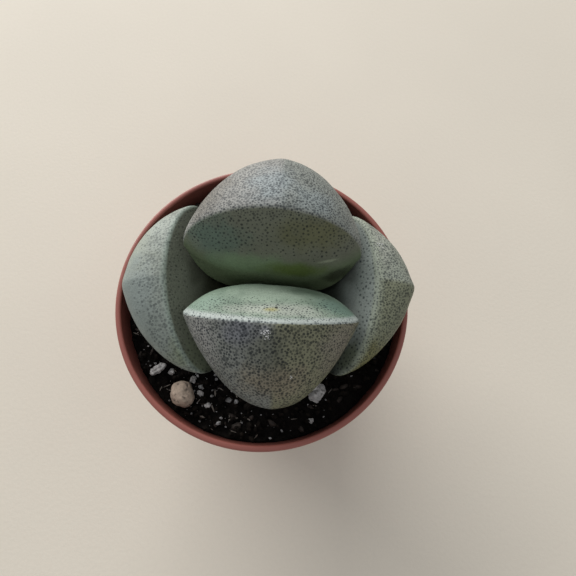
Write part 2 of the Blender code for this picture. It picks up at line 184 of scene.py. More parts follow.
@dataclass
class LeafForm:
    """A half-round leaf in its own frame: s across, o out from the plant's axis, z up from the rim."""

    name: str
    heading: float
    shift: tuple
    half_width: float
    corner_z: float
    apex_z: float
    arch_power: float
    lean: float
    face_slope: float
    cleft_z: float
    face_start: float
    face_power: float
    neck_power: float
    neck_swing: float
    chin_o: float
    chin_z: float
    chin_s: float
    core_o: float
    side_power: float
    upper_power: float
    under_power: float
    keel: float

    root_z = -0.0100
    knee = 0.003
    keel_width = 0.0030
    edge_depth = 5

    def arch(self, z):
        """Height and power of the half loop that z lies in: over the corners, or under them."""
        over = z > self.corner_z
        height = np.where(over, self.apex_z - self.corner_z, self.corner_z - self.root_z)
        return height, np.where(over, self.arch_power, self.neck_power)

    def half_at(self, z):
        """Half width of the edge loop at height z."""
        height, power = self.arch(z)
        share = np.clip(np.abs(z - self.corner_z) / height, 0, 1)
        return self.half_width * (1 - share**power) ** (1 / power)

    def middle_at(self, z):
        """Outward place of the inner face's middle line at height z."""
        run = (z - self.cleft_z) / math.tan(math.radians(self.face_slope))
        return self.face_start + 0.5 * (run + np.sqrt(run * run + self.knee**2))

    def plane_at(self, z):
        """Outward place at height z of the leaning plane that holds the upper edge."""
        return self.middle_at(self.apex_z) + (z - self.apex_z) * math.tan(math.radians(self.lean))

    def edge_at(self, z):
        """Outward place of the edge at height z: in its plane over the corners, swinging in under them."""
        root = self.middle_at(self.root_z)
        span = self.corner_z - self.root_z
        depth = self.plane_at(self.corner_z) - root
        up = np.clip((z - self.root_z) / span, 0, 1)
        rise = math.tan(math.radians(self.lean)) * span / depth
        swing = up**self.neck_swing * (1 + (self.neck_swing - rise) * (1 - up))
        return np.where(z > self.corner_z, self.plane_at(z), root + depth * swing)

    def face_at(self, s, z):
        """Outward place of the inner face: level near the middle, swept back to the edge at its sides."""
        half = self.half_at(z)
        across = np.where(half > 1e-7, np.clip(np.abs(s) / np.maximum(half, 1e-7), 0, 1), 1.0)
        middle = self.middle_at(z)
        return middle + (self.edge_at(z) - middle) * across**self.face_power

    def edge_loop(self, turn):
        """Points of the edge at angles round it."""
        across, up = np.cos(turn), np.sin(turn)
        height, power = self.arch(self.corner_z + up)
        s = self.half_width * np.sign(across) * np.abs(across) ** (2 / power)
        z = self.corner_z + height * np.sign(up) * np.abs(up) ** (2 / power)
        return np.stack([s, self.edge_at(z), z], 1)

    def rings(self, turn, face_rings, back_rings):
        """Rings of points from the middle of the inner face, over the edge, to the chin."""
        across, up = np.cos(turn), np.sin(turn)
        edge = self.edge_loop(turn)
        plain_s = self.half_width * np.sign(across) * np.abs(across) ** (2 / self.arch_power)
        plain = np.stack([plain_s, self.plane_at(edge[:, 2]), edge[:, 2]], 1)
        found = []
        for k in range(face_rings):
            s = edge[:, 0] * k / face_rings
            z = self.corner_z + (edge[:, 2] - self.corner_z) * k / face_rings
            found.append(np.stack([s, self.face_at(s, z), z], 1))
        found.append(edge)
        core = np.array([self.chin_s, self.core_o, self.chin_z])
        swell = np.array([0, self.chin_o - self.core_o, 0])
        upright = np.where(up > 0, self.upper_power, self.under_power)
        fullness = self.side_power * across**2 + upright * up**2
        for k in range(back_rings - 1, -1, -1):
            reach = math.sin(k / back_rings * math.pi / 2)
            ring = core + (plain - core) * reach + np.outer((1 - reach**2) ** fullness, swell)
            ring += (edge - plain) * reach**self.edge_depth
            offset = ring[:, 0] - self.chin_s * (1 - reach)
            ridge = self.keel * np.exp(-((offset / self.keel_width) ** 2)) * np.clip(up, 0, 1) ** 2
            ring[:, 1:] += (ridge * math.sin(reach * math.pi) ** 0.5)[:, None] * math.sqrt(0.5)
            found.append(ring)
        return np.stack(found)

    def to_world(self, points):
        """Points of the leaf's frame in the frame of the model."""
        a = math.radians(self.heading)
        out = np.array([-math.sin(a), math.cos(a), 0])
        side = np.array([math.cos(a), math.sin(a), 0])
        axis = np.array([PLANT_AXIS[0] + self.shift[0], PLANT_AXIS[1] + self.shift[1], POT_HEIGHT])
        return axis + points[:, :1] * side + points[:, 1:2] * out + points[:, 2:] * np.array([0, 0, 1])


INNER = dict(
    arch_power=1.9, cleft_z=0.0087, face_start=0.00035, face_power=3.5, neck_swing=6,
    chin_z=0.0026, core_o=0.0090, under_power=0.5,
)
OUTER = dict(
    corner_z=0.0015, apex_z=0.0105, arch_power=1.8, lean=43, face_slope=45, cleft_z=-0.0050,
    face_start=0.0135, face_power=2.5, neck_power=1.8, neck_swing=2.5, core_o=0.0240,
    upper_power=0.5, under_power=0.5,
)
BACK = LeafForm(
    name="leaf_back", heading=0.6, shift=(-0.0003, 0.0006), half_width=0.0252, corner_z=0.0079,
    apex_z=0.0239, neck_power=1.2, chin_o=0.0368, chin_s=0.0016, side_power=0.67, upper_power=0.62,
    keel=0.0003, lean=18.8, face_slope=48.8, **INNER,
)
FRONT = LeafForm(
    name="leaf_front", heading=181.9, shift=(0.0006, 0.0006), half_width=0.0234, corner_z=0.0096,
    apex_z=0.0236, neck_power=0.86, chin_o=0.0337, chin_s=-0.0012, side_power=0.98, upper_power=0.95,
    keel=0.0003, lean=19.4, face_slope=44.5, **INNER,
)
LEFT = LeafForm(
    name="leaf_left", heading=100, shift=(0, 0.0030), half_width=0.0255,
    chin_o=0.0406, chin_z=0.0022, chin_s=0.0006, side_power=0.60, keel=0.0003, **OUTER,
)
RIGHT = LeafForm(
    name="leaf_right", heading=-91, shift=(0, 0.0012), half_width=0.0243,
    chin_o=0.0384, chin_z=0.0026, chin_s=-0.0016, side_power=0.74, keel=0.0006, **OUTER,
)


@dataclass
class StainAndPaintedLight:
    """A soft-edged patch of colour on a leaf, placed in the leaf's own frame. Most are stains; some are
    painted shade and painted light.
    """

    at: tuple
    reach: tuple
    colour: tuple
    strength: float
    side: int


@dataclass
class Dots:
    """Dots of one leaf: the least distances between them, where they thin out, and how dark they are.

    Those of the inner face are face_size times as large, and none lie within bare_edge of its edge.
    """

    middle_gap: float
    margin_gap: float
    face_gap: float
    face_edge_gap: float
    face_reach: float
    face_floor: float
    strength: float
    back_reach: float = 0.2
    face_size: float = 0.8
    bare_edge: float = 0.00001


@dataclass
class Look:
    """Colours of one leaf: its two sides with painted light and shade on each side of the keel, the colour
    towards the cleft with painted shade and light, the band along its edge, its dots, and its stains and
    painted light and shade.
    """

    back_colour: tuple
    keel_light_and_shade_tint: tuple
    face_colour: tuple
    cleft_shade_and_light: tuple
    cleft_shade_and_light_levels: tuple
    band_colour: tuple
    band_strength: float
    band_reach: tuple
    dots: Dots
    crease: float
    stains_and_painted_light: tuple


OUTER_SIDE, INNER_FACE = 1, -1


def stain_and_painted_light(s, o, z, reach, colour, strength, side):
    """A soft patch of colour whose place and reach are given in millimetres: most are stains, some are painted
    shade and painted light.
    """
    return StainAndPaintedLight((s * MM, o * MM, z * MM), tuple(r * MM for r in reach), colour, strength, side)


LOOKS = {
    "leaf_back": Look(
        back_colour=(0.25, 0.25, 0.23), keel_light_and_shade_tint=(0.84, 0.90, 0.88), face_colour=(0.14, 0.147, 0.105),
        # Towards the cleft: painted light, a brighter green that lifts the shade there
        cleft_shade_and_light=(0.14, 0.18, 0.10), cleft_shade_and_light_levels=(0.0135, 0.0075),
        band_colour=(0.27, 0.28, 0.25), band_strength=0.5, band_reach=(0.0006, 0.0012), crease=0.0001,
        dots=Dots(
            middle_gap=0.00066, margin_gap=0.00058, face_gap=0.00105, face_edge_gap=0.00068,
            face_reach=0.016, face_floor=0.0112, face_size=0.74, strength=0.9,
        ),
        stains_and_painted_light=(
            stain_and_painted_light(-18, 19, 16, (11, 12, 9), (0.155, 0.145, 0.125), 0.9, OUTER_SIDE),
            stain_and_painted_light(-1.5, 22, 23, (7, 10, 7), (0.245, 0.28, 0.28), 0.9, OUTER_SIDE),
            stain_and_painted_light(11, 17.5, 21.5, (8, 6, 6), (0.25, 0.285, 0.28), 0.7, OUTER_SIDE),
            stain_and_painted_light(-16, 9, 15, (12, 9, 7), (0.10, 0.15, 0.114), 0.85, INNER_FACE),
            stain_and_painted_light(11, 11, 18, (14, 8, 6), (0.12, 0.12, 0.056), 0.85, INNER_FACE),
            stain_and_painted_light(-7, 3, 10.8, (15, 5, 3.6), (0.155, 0.225, 0.125), 0.8, INNER_FACE),
            stain_and_painted_light(7, 2.6, 9.6, (11, 4, 2.8), (0.09, 0.13, 0.03), 0.9, INNER_FACE),
            # Painted highlight: a thin pale line along a wrinkle low on the right of the inner face
            stain_and_painted_light(15.5, 5.0, 11.9, (4.4, 1.8, 0.4), (0.28, 0.31, 0.21), 0.7, INNER_FACE),
            # Painted shade: dark low on the right of the inner face, beside the right leaf
            stain_and_painted_light(19, 3.4, 5.6, (7, 4, 4.2), (0.03, 0.036, 0.018), 0.85, INNER_FACE),
        ),
    ),
    "leaf_front": Look(
        # The outer side is darker than the back leaf's: partly its own darker colouring, partly painted shade
        # of the side turned from the window
        back_colour=(0.19, 0.19, 0.12), keel_light_and_shade_tint=(0.95, 1.0, 1.42), face_colour=(0.165, 0.222, 0.168),
        cleft_shade_and_light=(0.20, 0.27, 0.20), cleft_shade_and_light_levels=(0.0145, 0.0085),
        band_colour=(0.39, 0.42, 0.40), band_strength=0.8, band_reach=(0.0027, 0.0003), crease=0.00022,
        dots=Dots(
            middle_gap=0.00070, margin_gap=0.00054, face_gap=0.00080, face_edge_gap=0.00062,
            face_reach=0.0125, face_floor=0.0122, face_size=0.62, bare_edge=0.0009, strength=1.0,
        ),
        stains_and_painted_light=(
            # Painted light and shade: lighter grey on the side that faces the window, browner on the side
            # turned away
            stain_and_painted_light(17, 18, 16, (6, 11, 10), (0.25, 0.25, 0.235), 0.9, OUTER_SIDE),
            stain_and_painted_light(-18, 20, 16, (7, 11, 9), (0.21, 0.19, 0.15), 0.8, OUTER_SIDE),
            stain_and_painted_light(-3, 29, 16.5, (14, 6, 7), (0.205, 0.175, 0.12), 0.85, OUTER_SIDE),
            stain_and_painted_light(0, 22, 21.5, (7, 9, 6), (0.115, 0.12, 0.088), 0.8, OUTER_SIDE),
            stain_and_painted_light(19, 11, 15, (8, 6, 6), (0.195, 0.275, 0.215), 0.7, INNER_FACE),
            stain_and_painted_light(-18, 9, 14, (9, 6, 6), (0.125, 0.195, 0.155), 0.85, INNER_FACE),
            stain_and_painted_light(-2, 11.4, 19.4, (16, 4.4, 4.4), (0.34, 0.365, 0.31), 0.85, INNER_FACE),
            stain_and_painted_light(0, 5.5, 13.5, (13, 7, 7), (0.29, 0.36, 0.28), 0.9, INNER_FACE),
            stain_and_painted_light(-10.5, 4.2, 11.4, (10, 3.6, 3.6), (0.07, 0.10, 0.07), 0.9, INNER_FACE),
            stain_and_painted_light(-0.3, 11.6, 19.6, (2.3, 1.4, 1.2), (0.30, 0.28, 0.12), 0.9, INNER_FACE),
            stain_and_painted_light(-1.4, 10.9, 18.9, (0.5, 0.5, 0.5), (0.03, 0.03, 0.02), 1.8, INNER_FACE),
            stain_and_painted_light(1.0, 17.7, 23.9, (1.7, 1.7, 1.7), (0.42, 0.42, 0.45), 0.6, OUTER_SIDE),
            # Painted light: bluish grey near the top on the side that faces the window
            stain_and_painted_light(7.5, 17.8, 22, (6.5, 4.5, 4.5), (0.165, 0.172, 0.195), 0.7, OUTER_SIDE),
        ),
    ),
    "leaf_left": Look(
        back_colour=(0.255, 0.285, 0.247), keel_light_and_shade_tint=(1.04, 1.02, 0.97), face_colour=(0.118, 0.13, 0.096),
        # Towards the cleft: painted shade
        cleft_shade_and_light=(0.026, 0.029, 0.016), cleft_shade_and_light_levels=(0.0050, -0.0010),
        band_colour=(0.27, 0.33, 0.28), band_strength=0.6, band_reach=(0.0012, 0.0016), crease=0.0002,
        dots=Dots(
            middle_gap=0.00078, margin_gap=0.00070, face_gap=0.0014, face_edge_gap=0.00095,
            back_reach=0.0105, face_reach=0.010, face_floor=-0.002, strength=0.6,
        ),
        stains_and_painted_light=(
            stain_and_painted_light(-6, 37, 8, (18, 9, 9), (0.20, 0.233, 0.218), 0.8, OUTER_SIDE),
            # Painted light and shade: lighter on the side that faces the window, darker on the side turned
            # away
            stain_and_painted_light(15, 29, 8, (11, 8, 8), (0.28, 0.31, 0.27), 0.8, OUTER_SIDE),
            stain_and_painted_light(-14, 31, 8, (8, 8, 7), (0.185, 0.21, 0.185), 0.8, OUTER_SIDE),
            stain_and_painted_light(-19, 25, 6, (7, 5, 5), (0.17, 0.20, 0.11), 0.8, OUTER_SIDE),
            stain_and_painted_light(-20, 22, 3, (9, 6, 7), (0.165, 0.19, 0.125), 0.9, INNER_FACE),
            # Painted shade: contact shadow where the back leaf presses on this face
            stain_and_painted_light(3.6, 22.3, 3.4, (5.6, 3.2, 3.2), (0.042, 0.046, 0.030), 0.62, INNER_FACE),
        ),
    ),
    "leaf_right": Look(
        back_colour=(0.25, 0.27, 0.22), keel_light_and_shade_tint=(0.78, 0.76, 0.62), face_colour=(0.24, 0.27, 0.245),
        # Towards the cleft: painted shade
        cleft_shade_and_light=(0.030, 0.037, 0.028), cleft_shade_and_light_levels=(0.0048, -0.0008),
        band_colour=(0.27, 0.30, 0.23), band_strength=0.75, band_reach=(0.0020, 0.0026), crease=0.0005,
        dots=Dots(
            middle_gap=0.00062, margin_gap=0.00056, face_gap=0.0014, face_edge_gap=0.0010,
            back_reach=0.017, face_reach=0.009, face_floor=-0.002, strength=0.85,
        ),
        stains_and_painted_light=(
            # Painted light and shade: darker olive on the side turned from the window, lighter on the side
            # that faces it
            stain_and_painted_light(20, 26, 5, (9, 10, 8), (0.17, 0.165, 0.065), 0.9, OUTER_SIDE),
            stain_and_painted_light(-14, 28, 8, (10, 8, 8), (0.31, 0.32, 0.27), 0.8, OUTER_SIDE),
            stain_and_painted_light(20, 24, 4, (7, 5, 5), (0.11, 0.13, 0.08), 0.8, INNER_FACE),
            # Painted shade: contact shadow where the back leaf meets this face
            stain_and_painted_light(-5, 22.4, 3.5, (5.8, 3.4, 3.4), (0.052, 0.058, 0.048), 0.64, INNER_FACE),
        ),
    ),
}


def colour_prop(name, description, default):
    return FloatVectorProperty(
        name=name, description=description, default=default, size=3, min=0, max=1, subtype="COLOR"
    )


def length_prop(name, description, default):
    return FloatProperty(
        name=name, description=description, default=default, min=0, precision=5,
        subtype="DISTANCE", unit="LENGTH",
    )


def amount_prop(name, description, default):
    return FloatProperty(name=name, description=description, default=default, min=0)


def count_prop(name, description, default, least=0):
    return IntProperty(name=name, description=description, default=default, min=least)


class SplitRockLeafSettings(bpy.types.PropertyGroup):
    edge_round: length_prop("Edge rounding", "Half width of the rounding along the edge of a leaf", 0.0008)
    unevenness: length_prop("Unevenness", "Height of the slow waves in the skin", 0.00022)
    dot_share: amount_prop("Dot size", "Radius of a dot as a share of the distance to the next", 0.50)
    dot_tint: colour_prop("Dot tint", "Colour that multiplies the skin's in the dots", (0.16, 0.18, 0.20))


class SplitRockPotSettings(bpy.types.PropertyGroup):
    plastic: colour_prop("Plastic", "Colour of the pot", (0.285, 0.09, 0.068))
    sides: count_prop("Sides", "Sides of the turned pot", 192, 24)


class SplitRockSoilSettings(bpy.types.PropertyGroup):
    colour: colour_prop("Soil", "Colour of the damp potting mix", (0.006, 0.0046, 0.0036))
    crumbs: count_prop("Crumbs", "Crumbs of peat on the soil", 1300)
    bark_bits: count_prop("Bark bits", "Slivers of bark on the soil", 90)
    grit: count_prop("Grit", "Pale grains of grit on the soil", 190)
    splinters: count_prop("Splinters", "Pale splinters on the soil", 64)
    seed: count_prop("Seed", "Changes where the loose bits lie", 5)


class SplitRockStageSettings(bpy.types.PropertyGroup):
    floor: colour_prop("Floor", "Colour of the floor", (0.72, 0.66, 0.56))
    key_power: amount_prop("Key light", "Power of the window", 48)
    sky: amount_prop("Sky", "Strength of the light from all round", 0.50)


def new_group(name, inputs, outputs):
    """A shader node group and its two end nodes, which are None if the group is there already."""
    group = bpy.data.node_groups.get(name)
    if group is not None:
        return group, None, None
    group = bpy.data.node_groups.new(name, "ShaderNodeTree")
    for label, kind, default in inputs:
        socket = group.interface.new_socket(label, in_out="INPUT", socket_type="NodeSocket" + kind)
        if default is not None:
            socket.default_value = default
    for label in outputs:
        group.interface.new_socket(label, in_out="OUTPUT", socket_type="NodeSocketFloat")
    return group, group.nodes.new("NodeGroupInput"), group.nodes.new("NodeGroupOutput")


def add_node(tree, kind, inputs=(), **settings):
    """A node with its settings. Inputs are values or sockets, by order or name. None leaves one alone."""
    made = tree.nodes.new("ShaderNode" + kind)
    for key, value in settings.items():
        setattr(made, key, value)
    pairs = inputs.items() if isinstance(inputs, dict) else enumerate(inputs)
    for key, value in pairs:
        if isinstance(value, bpy.types.NodeSocket):
            tree.links.new(value, made.inputs[key])
        elif value is not None:
            made.inputs[key].default_value = value
    return made


def use_group(tree, group, inputs):
    """Places a shared group in a tree and gives the socket of its first output."""
    return add_node(tree, "Group", inputs, node_tree=group).outputs[0]


def maths(tree, operation, a, b=None):
    return add_node(tree, "Math", (a, b), operation=operation).outputs[0]


def vector_maths(tree, operation, a, b=None):
    node = add_node(tree, "VectorMath", (a, b), operation=operation)
    return node.outputs[1 if operation in ("DISTANCE", "LENGTH", "DOT_PRODUCT") else 0]


def fade(tree, value, start, stop, low=0.0, high=1.0):
    """Eases from low to high as value goes from start to stop."""
    inputs = (value, start, stop, low, high)
    return add_node(tree, "MapRange", inputs, interpolation_type="SMOOTHSTEP").outputs[0]


def mix(tree, factor, a, b, blend="MIX"):
    """Mixes two colours."""
    inputs = {0: factor, 6: a if isinstance(a, bpy.types.NodeSocket) else (*a, 1)}
    inputs[7] = b if isinstance(b, bpy.types.NodeSocket) else (*b, 1)
    return add_node(tree, "Mix", inputs, data_type="RGBA", blend_type=blend).outputs[2]


def clouds(tree, scale, detail=2.0, roughness=0.5, vector=None):
    """Noise over the object, with features of about one over scale metres."""
    place = vector or add_node(tree, "TexCoord").outputs["Object"]
    inputs = {"Vector": place, "Scale": scale, "Detail": detail, "Roughness": roughness}
    return add_node(tree, "TexNoise", inputs).outputs[0]


def new_material(name, roughness, specular=0.5):
    """A material with a shader whose constant values are set on its own sockets."""
    material = bpy.data.materials.new(name)
    material.use_nodes = True
    tree = material.node_tree
    shader = tree.nodes["Principled BSDF"]
    shader.inputs["Roughness"].default_value = roughness
    shader.inputs["Metallic"].default_value = 0.0
    shader.inputs["Specular IOR Level"].default_value = specular
    return material, tree, shader


def set_bump(tree, shader, height, distance, strength=1.0):
    """Feeds a height in the range 0 to 1 to the shader's normal, as relief of a real depth."""
    bump = add_node(tree, "Bump", {"Strength": strength, "Distance": distance, "Height": height})
    tree.links.new(bump.outputs[0], shader.inputs["Normal"])


def one_dot_group():
    """Mask of a round dot with soft borders, whose darkness comes from its own place."""
    sockets = [("Place", "Vector", None), ("Centre", "Vector", None), ("Radius", "Float", 0.0003)]
    group, given, out = new_group("One dot", sockets, ["Mask"])
    if given is None:
        return group
    away = vector_maths(group, "DISTANCE", given.outputs["Place"], given.outputs["Centre"])
    disc = fade(group, maths(group, "DIVIDE", away, given.outputs["Radius"]), 1.2, 0.6)
    chance = add_node(group, "TexWhiteNoise", {"Vector": given.outputs["Centre"]}, noise_dimensions="3D")
    darkness = fade(group, chance.outputs[0], 0.0, 1.0, 0.6, 1.0)
    group.links.new(maths(group, "MULTIPLY", disc, darkness), out.inputs[0])
    return group


def skin_dots_group():
    """Mask of the dark dots. Each face of a leaf's mesh holds the places and radii of the closest ones."""
    group, given, out = new_group("Skin dots", [("Raggedness", "Float", 0.0002)], ["Mask"])
    if given is None:
        return group
    place = add_node(group, "TexCoord").outputs["Object"]
    wander = add_node(group, "TexNoise", {"Vector": place, "Scale": 2600.0, "Detail": 1.0}).outputs[1]
    ragged = vector_maths(group, "SUBTRACT", wander, (0.5, 0.5, 0.5))
    shift = add_node(group, "VectorMath", {0: ragged, "Scale": given.outputs[0]}, operation="SCALE")
    place = vector_maths(group, "ADD", place, shift.outputs[0])
    most = 0.0
    for name in DOT_NAMES:
        centre = add_node(group, "Attribute", attribute_name=name).outputs["Vector"]
        radius = add_node(group, "Attribute", attribute_name=name + "_radius").outputs["Fac"]
        most = maths(group, "MAXIMUM", use_group(group, one_dot_group(), (place, centre, radius)), most)
    group.links.new(most, out.inputs[0])
    return group


def soft_stain_and_painted_light_group():
    """Mask of an oval patch of stain and painted light in a leaf's own frame, with a wandering border."""
    sockets = [("Centre", "Vector", None), ("Reach", "Vector", None), ("Strength", "Float", 1.0)]
    group, given, out = new_group("Soft stain and painted light", sockets, ["Mask"])
    if given is None:
        return group
    place = add_node(group, "Attribute", attribute_name="skin").outputs["Vector"]
    away = vector_maths(group, "SUBTRACT", place, given.outputs["Centre"])
    size = vector_maths(group, "LENGTH", vector_maths(group, "DIVIDE", away, given.outputs["Reach"]))
    wander = fade(group, clouds(group, 260, 3), 0.2, 0.8, -0.22, 0.22)
    mask = fade(group, maths(group, "ADD", size, wander), 1.15, 0.25)
    group.links.new(maths(group, "MULTIPLY", mask, given.outputs["Strength"]), out.inputs[0])
    return group


def mottle_group():
    """Slow and fine changes of brightness that living skin, stone and plastic all show."""
    sockets = [("Slow scale", "Float", 120.0), ("Fine scale", "Float", 2200.0)]
    group, given, out = new_group("Mottle", sockets, ["Slow", "Fine"])
    if given is None:
        return group
    group.links.new(clouds(group, given.outputs[0], 3, 0.55), out.inputs[0])
    group.links.new(clouds(group, given.outputs[1], 2, 0.6), out.inputs[1])
    return group


def dust_group():
    """Mask of dust and splashes of soil: patches that thin out with height over a level."""
    sockets = [("Level", "Float", 0.0), ("Reach", "Float", 0.01), ("Scale", "Float", 500.0)]
    group, given, out = new_group("Dust", sockets, ["Mask"])
    if given is None:
        return group
    place = add_node(group, "TexCoord").outputs["Object"]
    height = add_node(group, "SeparateXYZ", (place,)).outputs[2]
    over = maths(group, "SUBTRACT", height, given.outputs["Level"])
    near = fade(group, maths(group, "DIVIDE", over, given.outputs["Reach"]), 1.0, 0.0)
    spots = fade(group, clouds(group, given.outputs["Scale"], 6, 0.7), 0.48, 0.66)
    wide = fade(group, clouds(group, 90, 3), 0.35, 0.65, 0.25, 1.0)
    group.links.new(maths(group, "MULTIPLY", maths(group, "MULTIPLY", spots, wide), near), out.inputs[0])
    return group


def mottled(tree, colour, slow_scale, fine_scale, slow=0.12, fine=0.08):
    """A colour made lighter and darker in slow clouds and fine grain, with the fine height for a bump."""
    mottle = add_node(tree, "Group", (slow_scale, fine_scale), node_tree=mottle_group())
    slow_clouds, grain = mottle.outputs
    shade = maths(
        tree, "ADD",
        fade(tree, slow_clouds, 0.25, 0.75, 1 - slow, 1 + slow),
        fade(tree, grain, 0.25, 0.75, -fine, fine),
    )
    grey = add_node(tree, "CombineColor", (shade, shade, shade)).outputs[0]
    return mix(tree, 1.0, colour, grey, "MULTIPLY"), grain


def grainy_material(name, colour, roughness, specular, scales, spreads, relief):
    """A material of one colour, made uneven by slow clouds and fine grain, with the grain as relief."""
    material, tree, shader = new_material(name, roughness, specular)
    shade, grain = mottled(tree, colour, *scales, *spreads)
    tree.links.new(shade, shader.inputs["Base Color"])
    set_bump(tree, shader, grain, relief)
    return material


def leaf_material(form, look, settings):
    material, tree, shader = new_material(form.name + "_skin", 0.5, specular=0.3)
    past = add_node(tree, "Attribute", attribute_name="rim").outputs["Fac"]
    on_back = fade(tree, past, -EDGE_BORDER, EDGE_BORDER * 1.5)
    on_face = maths(tree, "SUBTRACT", 1.0, on_back)
    place = add_node(tree, "Attribute", attribute_name="skin").outputs["Vector"]
    parts = add_node(tree, "SeparateXYZ", (place,)).outputs
    across, height = parts[0], parts[2]
    # Painted light and shade: the outer side beyond the keel is tinted, lighter on the left leaf and bluer on
    # the front leaf, whose tinted sides face the window, and darker on the back and right leaves, whose tinted
    # sides turn away
    beyond_keel = fade(tree, across, form.chin_s - KEEL_BORDER, form.chin_s + KEEL_BORDER)
    painted_keel_side_colour = np.multiply(look.back_colour, look.keel_light_and_shade_tint).tolist()
    keel_sides_light_and_shade = mix(tree, beyond_keel, look.back_colour, painted_keel_side_colour)
    # Towards the cleft the inner face takes the cleft colour: painted shade on the left and right leaves,
    # painted light that lifts the cleft's shade on the back leaf, and a paler mint on the front leaf
    face = mix(tree, fade(tree, height, *look.cleft_shade_and_light_levels), look.face_colour, look.cleft_shade_and_light)
    colour = mix(tree, on_back, face, keel_sides_light_and_shade)
    # Stains, and patches of painted shade and painted light
    for mark in look.stains_and_painted_light:
        mask = use_group(tree, soft_stain_and_painted_light_group(), (mark.at, mark.reach, mark.strength))
        side = on_back if mark.side == OUTER_SIDE else on_face
        colour = mix(tree, maths(tree, "MULTIPLY", mask, side), colour, mark.colour)
    upper = fade(tree, height, form.corner_z - 0.001, form.corner_z + 0.002, 0.0, look.band_strength)
    on_face_side, on_back_side = look.band_reach
    band = maths(
        tree, "MULTIPLY",
        fade(tree, past, -on_face_side, -0.35 * on_face_side), fade(tree, past, on_back_side, 0.0),
    )
    colour = mix(tree, maths(tree, "MULTIPLY", band, upper), colour, look.band_colour)
    colour, grain = mottled(tree, colour, 150, 1900, 0.09, 0.10)
    dots = use_group(tree, skin_dots_group(), (DOT_RAGGEDNESS,))
    dots = maths(tree, "MULTIPLY", dots, look.dots.strength)
    colour = mix(tree, dots, colour, mix(tree, 1.0, colour, settings.dot_tint, "MULTIPLY"))
    tree.links.new(colour, shader.inputs["Base Color"])
    low_face = maths(tree, "MULTIPLY", on_face, fade(tree, height, form.cleft_z + 0.005, form.cleft_z))
    smoother = maths(tree, "MULTIPLY", low_face, -0.2)
    roughness = maths(tree, "ADD", smoother, fade(tree, grain, 0.2, 0.8, 0.46, 0.60))
    tree.links.new(roughness, shader.inputs["Roughness"])
    grain_height = fade(tree, grain, 0.2, 0.8, 0.0, 0.5)
    relief = maths(tree, "SUBTRACT", grain_height, maths(tree, "MULTIPLY", dots, 0.5))
    set_bump(tree, shader, relief, SKIN_RELIEF)
    return material


def even_turn(form):
    """Angles of points spread evenly along the edge."""
    turn = np.linspace(0, 2 * math.pi, 4001)
    steps = np.linalg.norm(np.diff(form.edge_loop(turn), axis=0), axis=1)
    run = np.concatenate([[0], np.cumsum(steps)])
    return np.interp(np.linspace(0, run[-1], LEAF_POINTS, endpoint=False), run, turn)


def leaf_stations(form, edge_round):
    """Points along each line from the middle of the face to the chin, and their distances past the edge.

    Each point is the mean of a short stretch of its line, longest at the edge, which rounds the edge off.
    """
    rings = form.rings(even_turn(form), FACE_RINGS, BACK_RINGS)
    steps = np.linalg.norm(np.diff(rings, axis=0), axis=2)
    runs = np.concatenate([np.zeros((1, LEAF_POINTS)), np.cumsum(steps, axis=0)])
    areas = np.cumsum((rings[1:] + rings[:-1]) / 2 * steps[:, :, None], axis=0)
    areas = np.concatenate([np.zeros((1, LEAF_POINTS, 3)), areas])
    near = np.array(NEAR_EDGE)
    points, pasts = [], []
    for j in range(LEAF_POINTS):
        run, edge = runs[:, j], runs[FACE_RINGS, j]
        face = np.linspace(0, edge - near[-1], FACE_STATIONS + 1)[1:-1]
        back = np.linspace(edge + near[-1], run[-1], BACK_STATIONS + 1)[1:-1]
        at = np.concatenate([face, edge - near[::-1], [edge], edge + near, back])
        window = LEAST_ROUND + edge_round * np.exp(-(((at - edge) / (1.5 * edge_round)) ** 2))
        low, high = np.clip(at - window, 0, run[-1]), np.clip(at + window, 0, run[-1])
        mean = [np.interp(high, run, area) - np.interp(low, run, area) for area in areas[:, j].T]
        points.append(np.stack(mean, 1) / (high - low)[:, None])
        pasts.append(at - edge)
    return rings[0, 0], np.stack(points, 1), np.stack(pasts, 1), rings[-1, 0]


def skin_faces(stations, points):
    """Faces of a closed skin: a fan at each end and quads between the rings, with vertex 0 at the start."""
    faces = []
    last = 1 + stations * points
    for j in range(points):
        k = (j + 1) % points
        faces.append((0, 1 + j, 1 + k))
        for r in range(stations - 1):
            low, high = 1 + r * points, 1 + (r + 1) * points
            faces.append((low + j, high + j, high + k, low + k))
        low = last - points
        faces.append((low + j, last, low + k))
    return faces


def take_mesh(work, mesh):
    """Writes a bmesh into a mesh and frees it."""
    work.to_mesh(mesh)
    work.free()
    return mesh


def skin_mesh(name, places, stations, points):
    """A closed mesh from places in the order of skin_faces, with its faces turned outward."""
    mesh = bpy.data.meshes.new(name)
    mesh.from_pydata(places, [], skin_faces(stations, points))
    work = bmesh.new()
    work.from_mesh(mesh)
    bmesh.ops.recalc_face_normals(work, faces=work.faces)
    return take_mesh(work, mesh)


def add_attribute(mesh, name, kind, domain, values):
    key = "vector" if kind == "FLOAT_VECTOR" else "value"
    made = mesh.attributes.new(name, kind, domain)
    made.data.foreach_set(key, np.asarray(values, np.float32).ravel())


def add_object(name, data):
    thing = bpy.data.objects.new(name, data)
    bpy.context.scene.collection.objects.link(thing)
    return thing


def add_piece(name, mesh, material, replaced=()):
    """Puts a piece of the object on the model's body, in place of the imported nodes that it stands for."""
    thing = add_object(name, mesh)
    mesh.materials.clear()
    mesh.materials.append(material)
    mesh.shade_smooth()
    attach(thing, BODY)
    if replaced:
        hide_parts(*replaced)
    return thing


def read_vectors(items, key, kind=np.float32):
    """What each item of a mesh holds under a key, three numbers to an item."""
    found = np.empty(len(items) * 3, kind)
    items.foreach_get(key, found)
    return found.reshape(-1, 3)


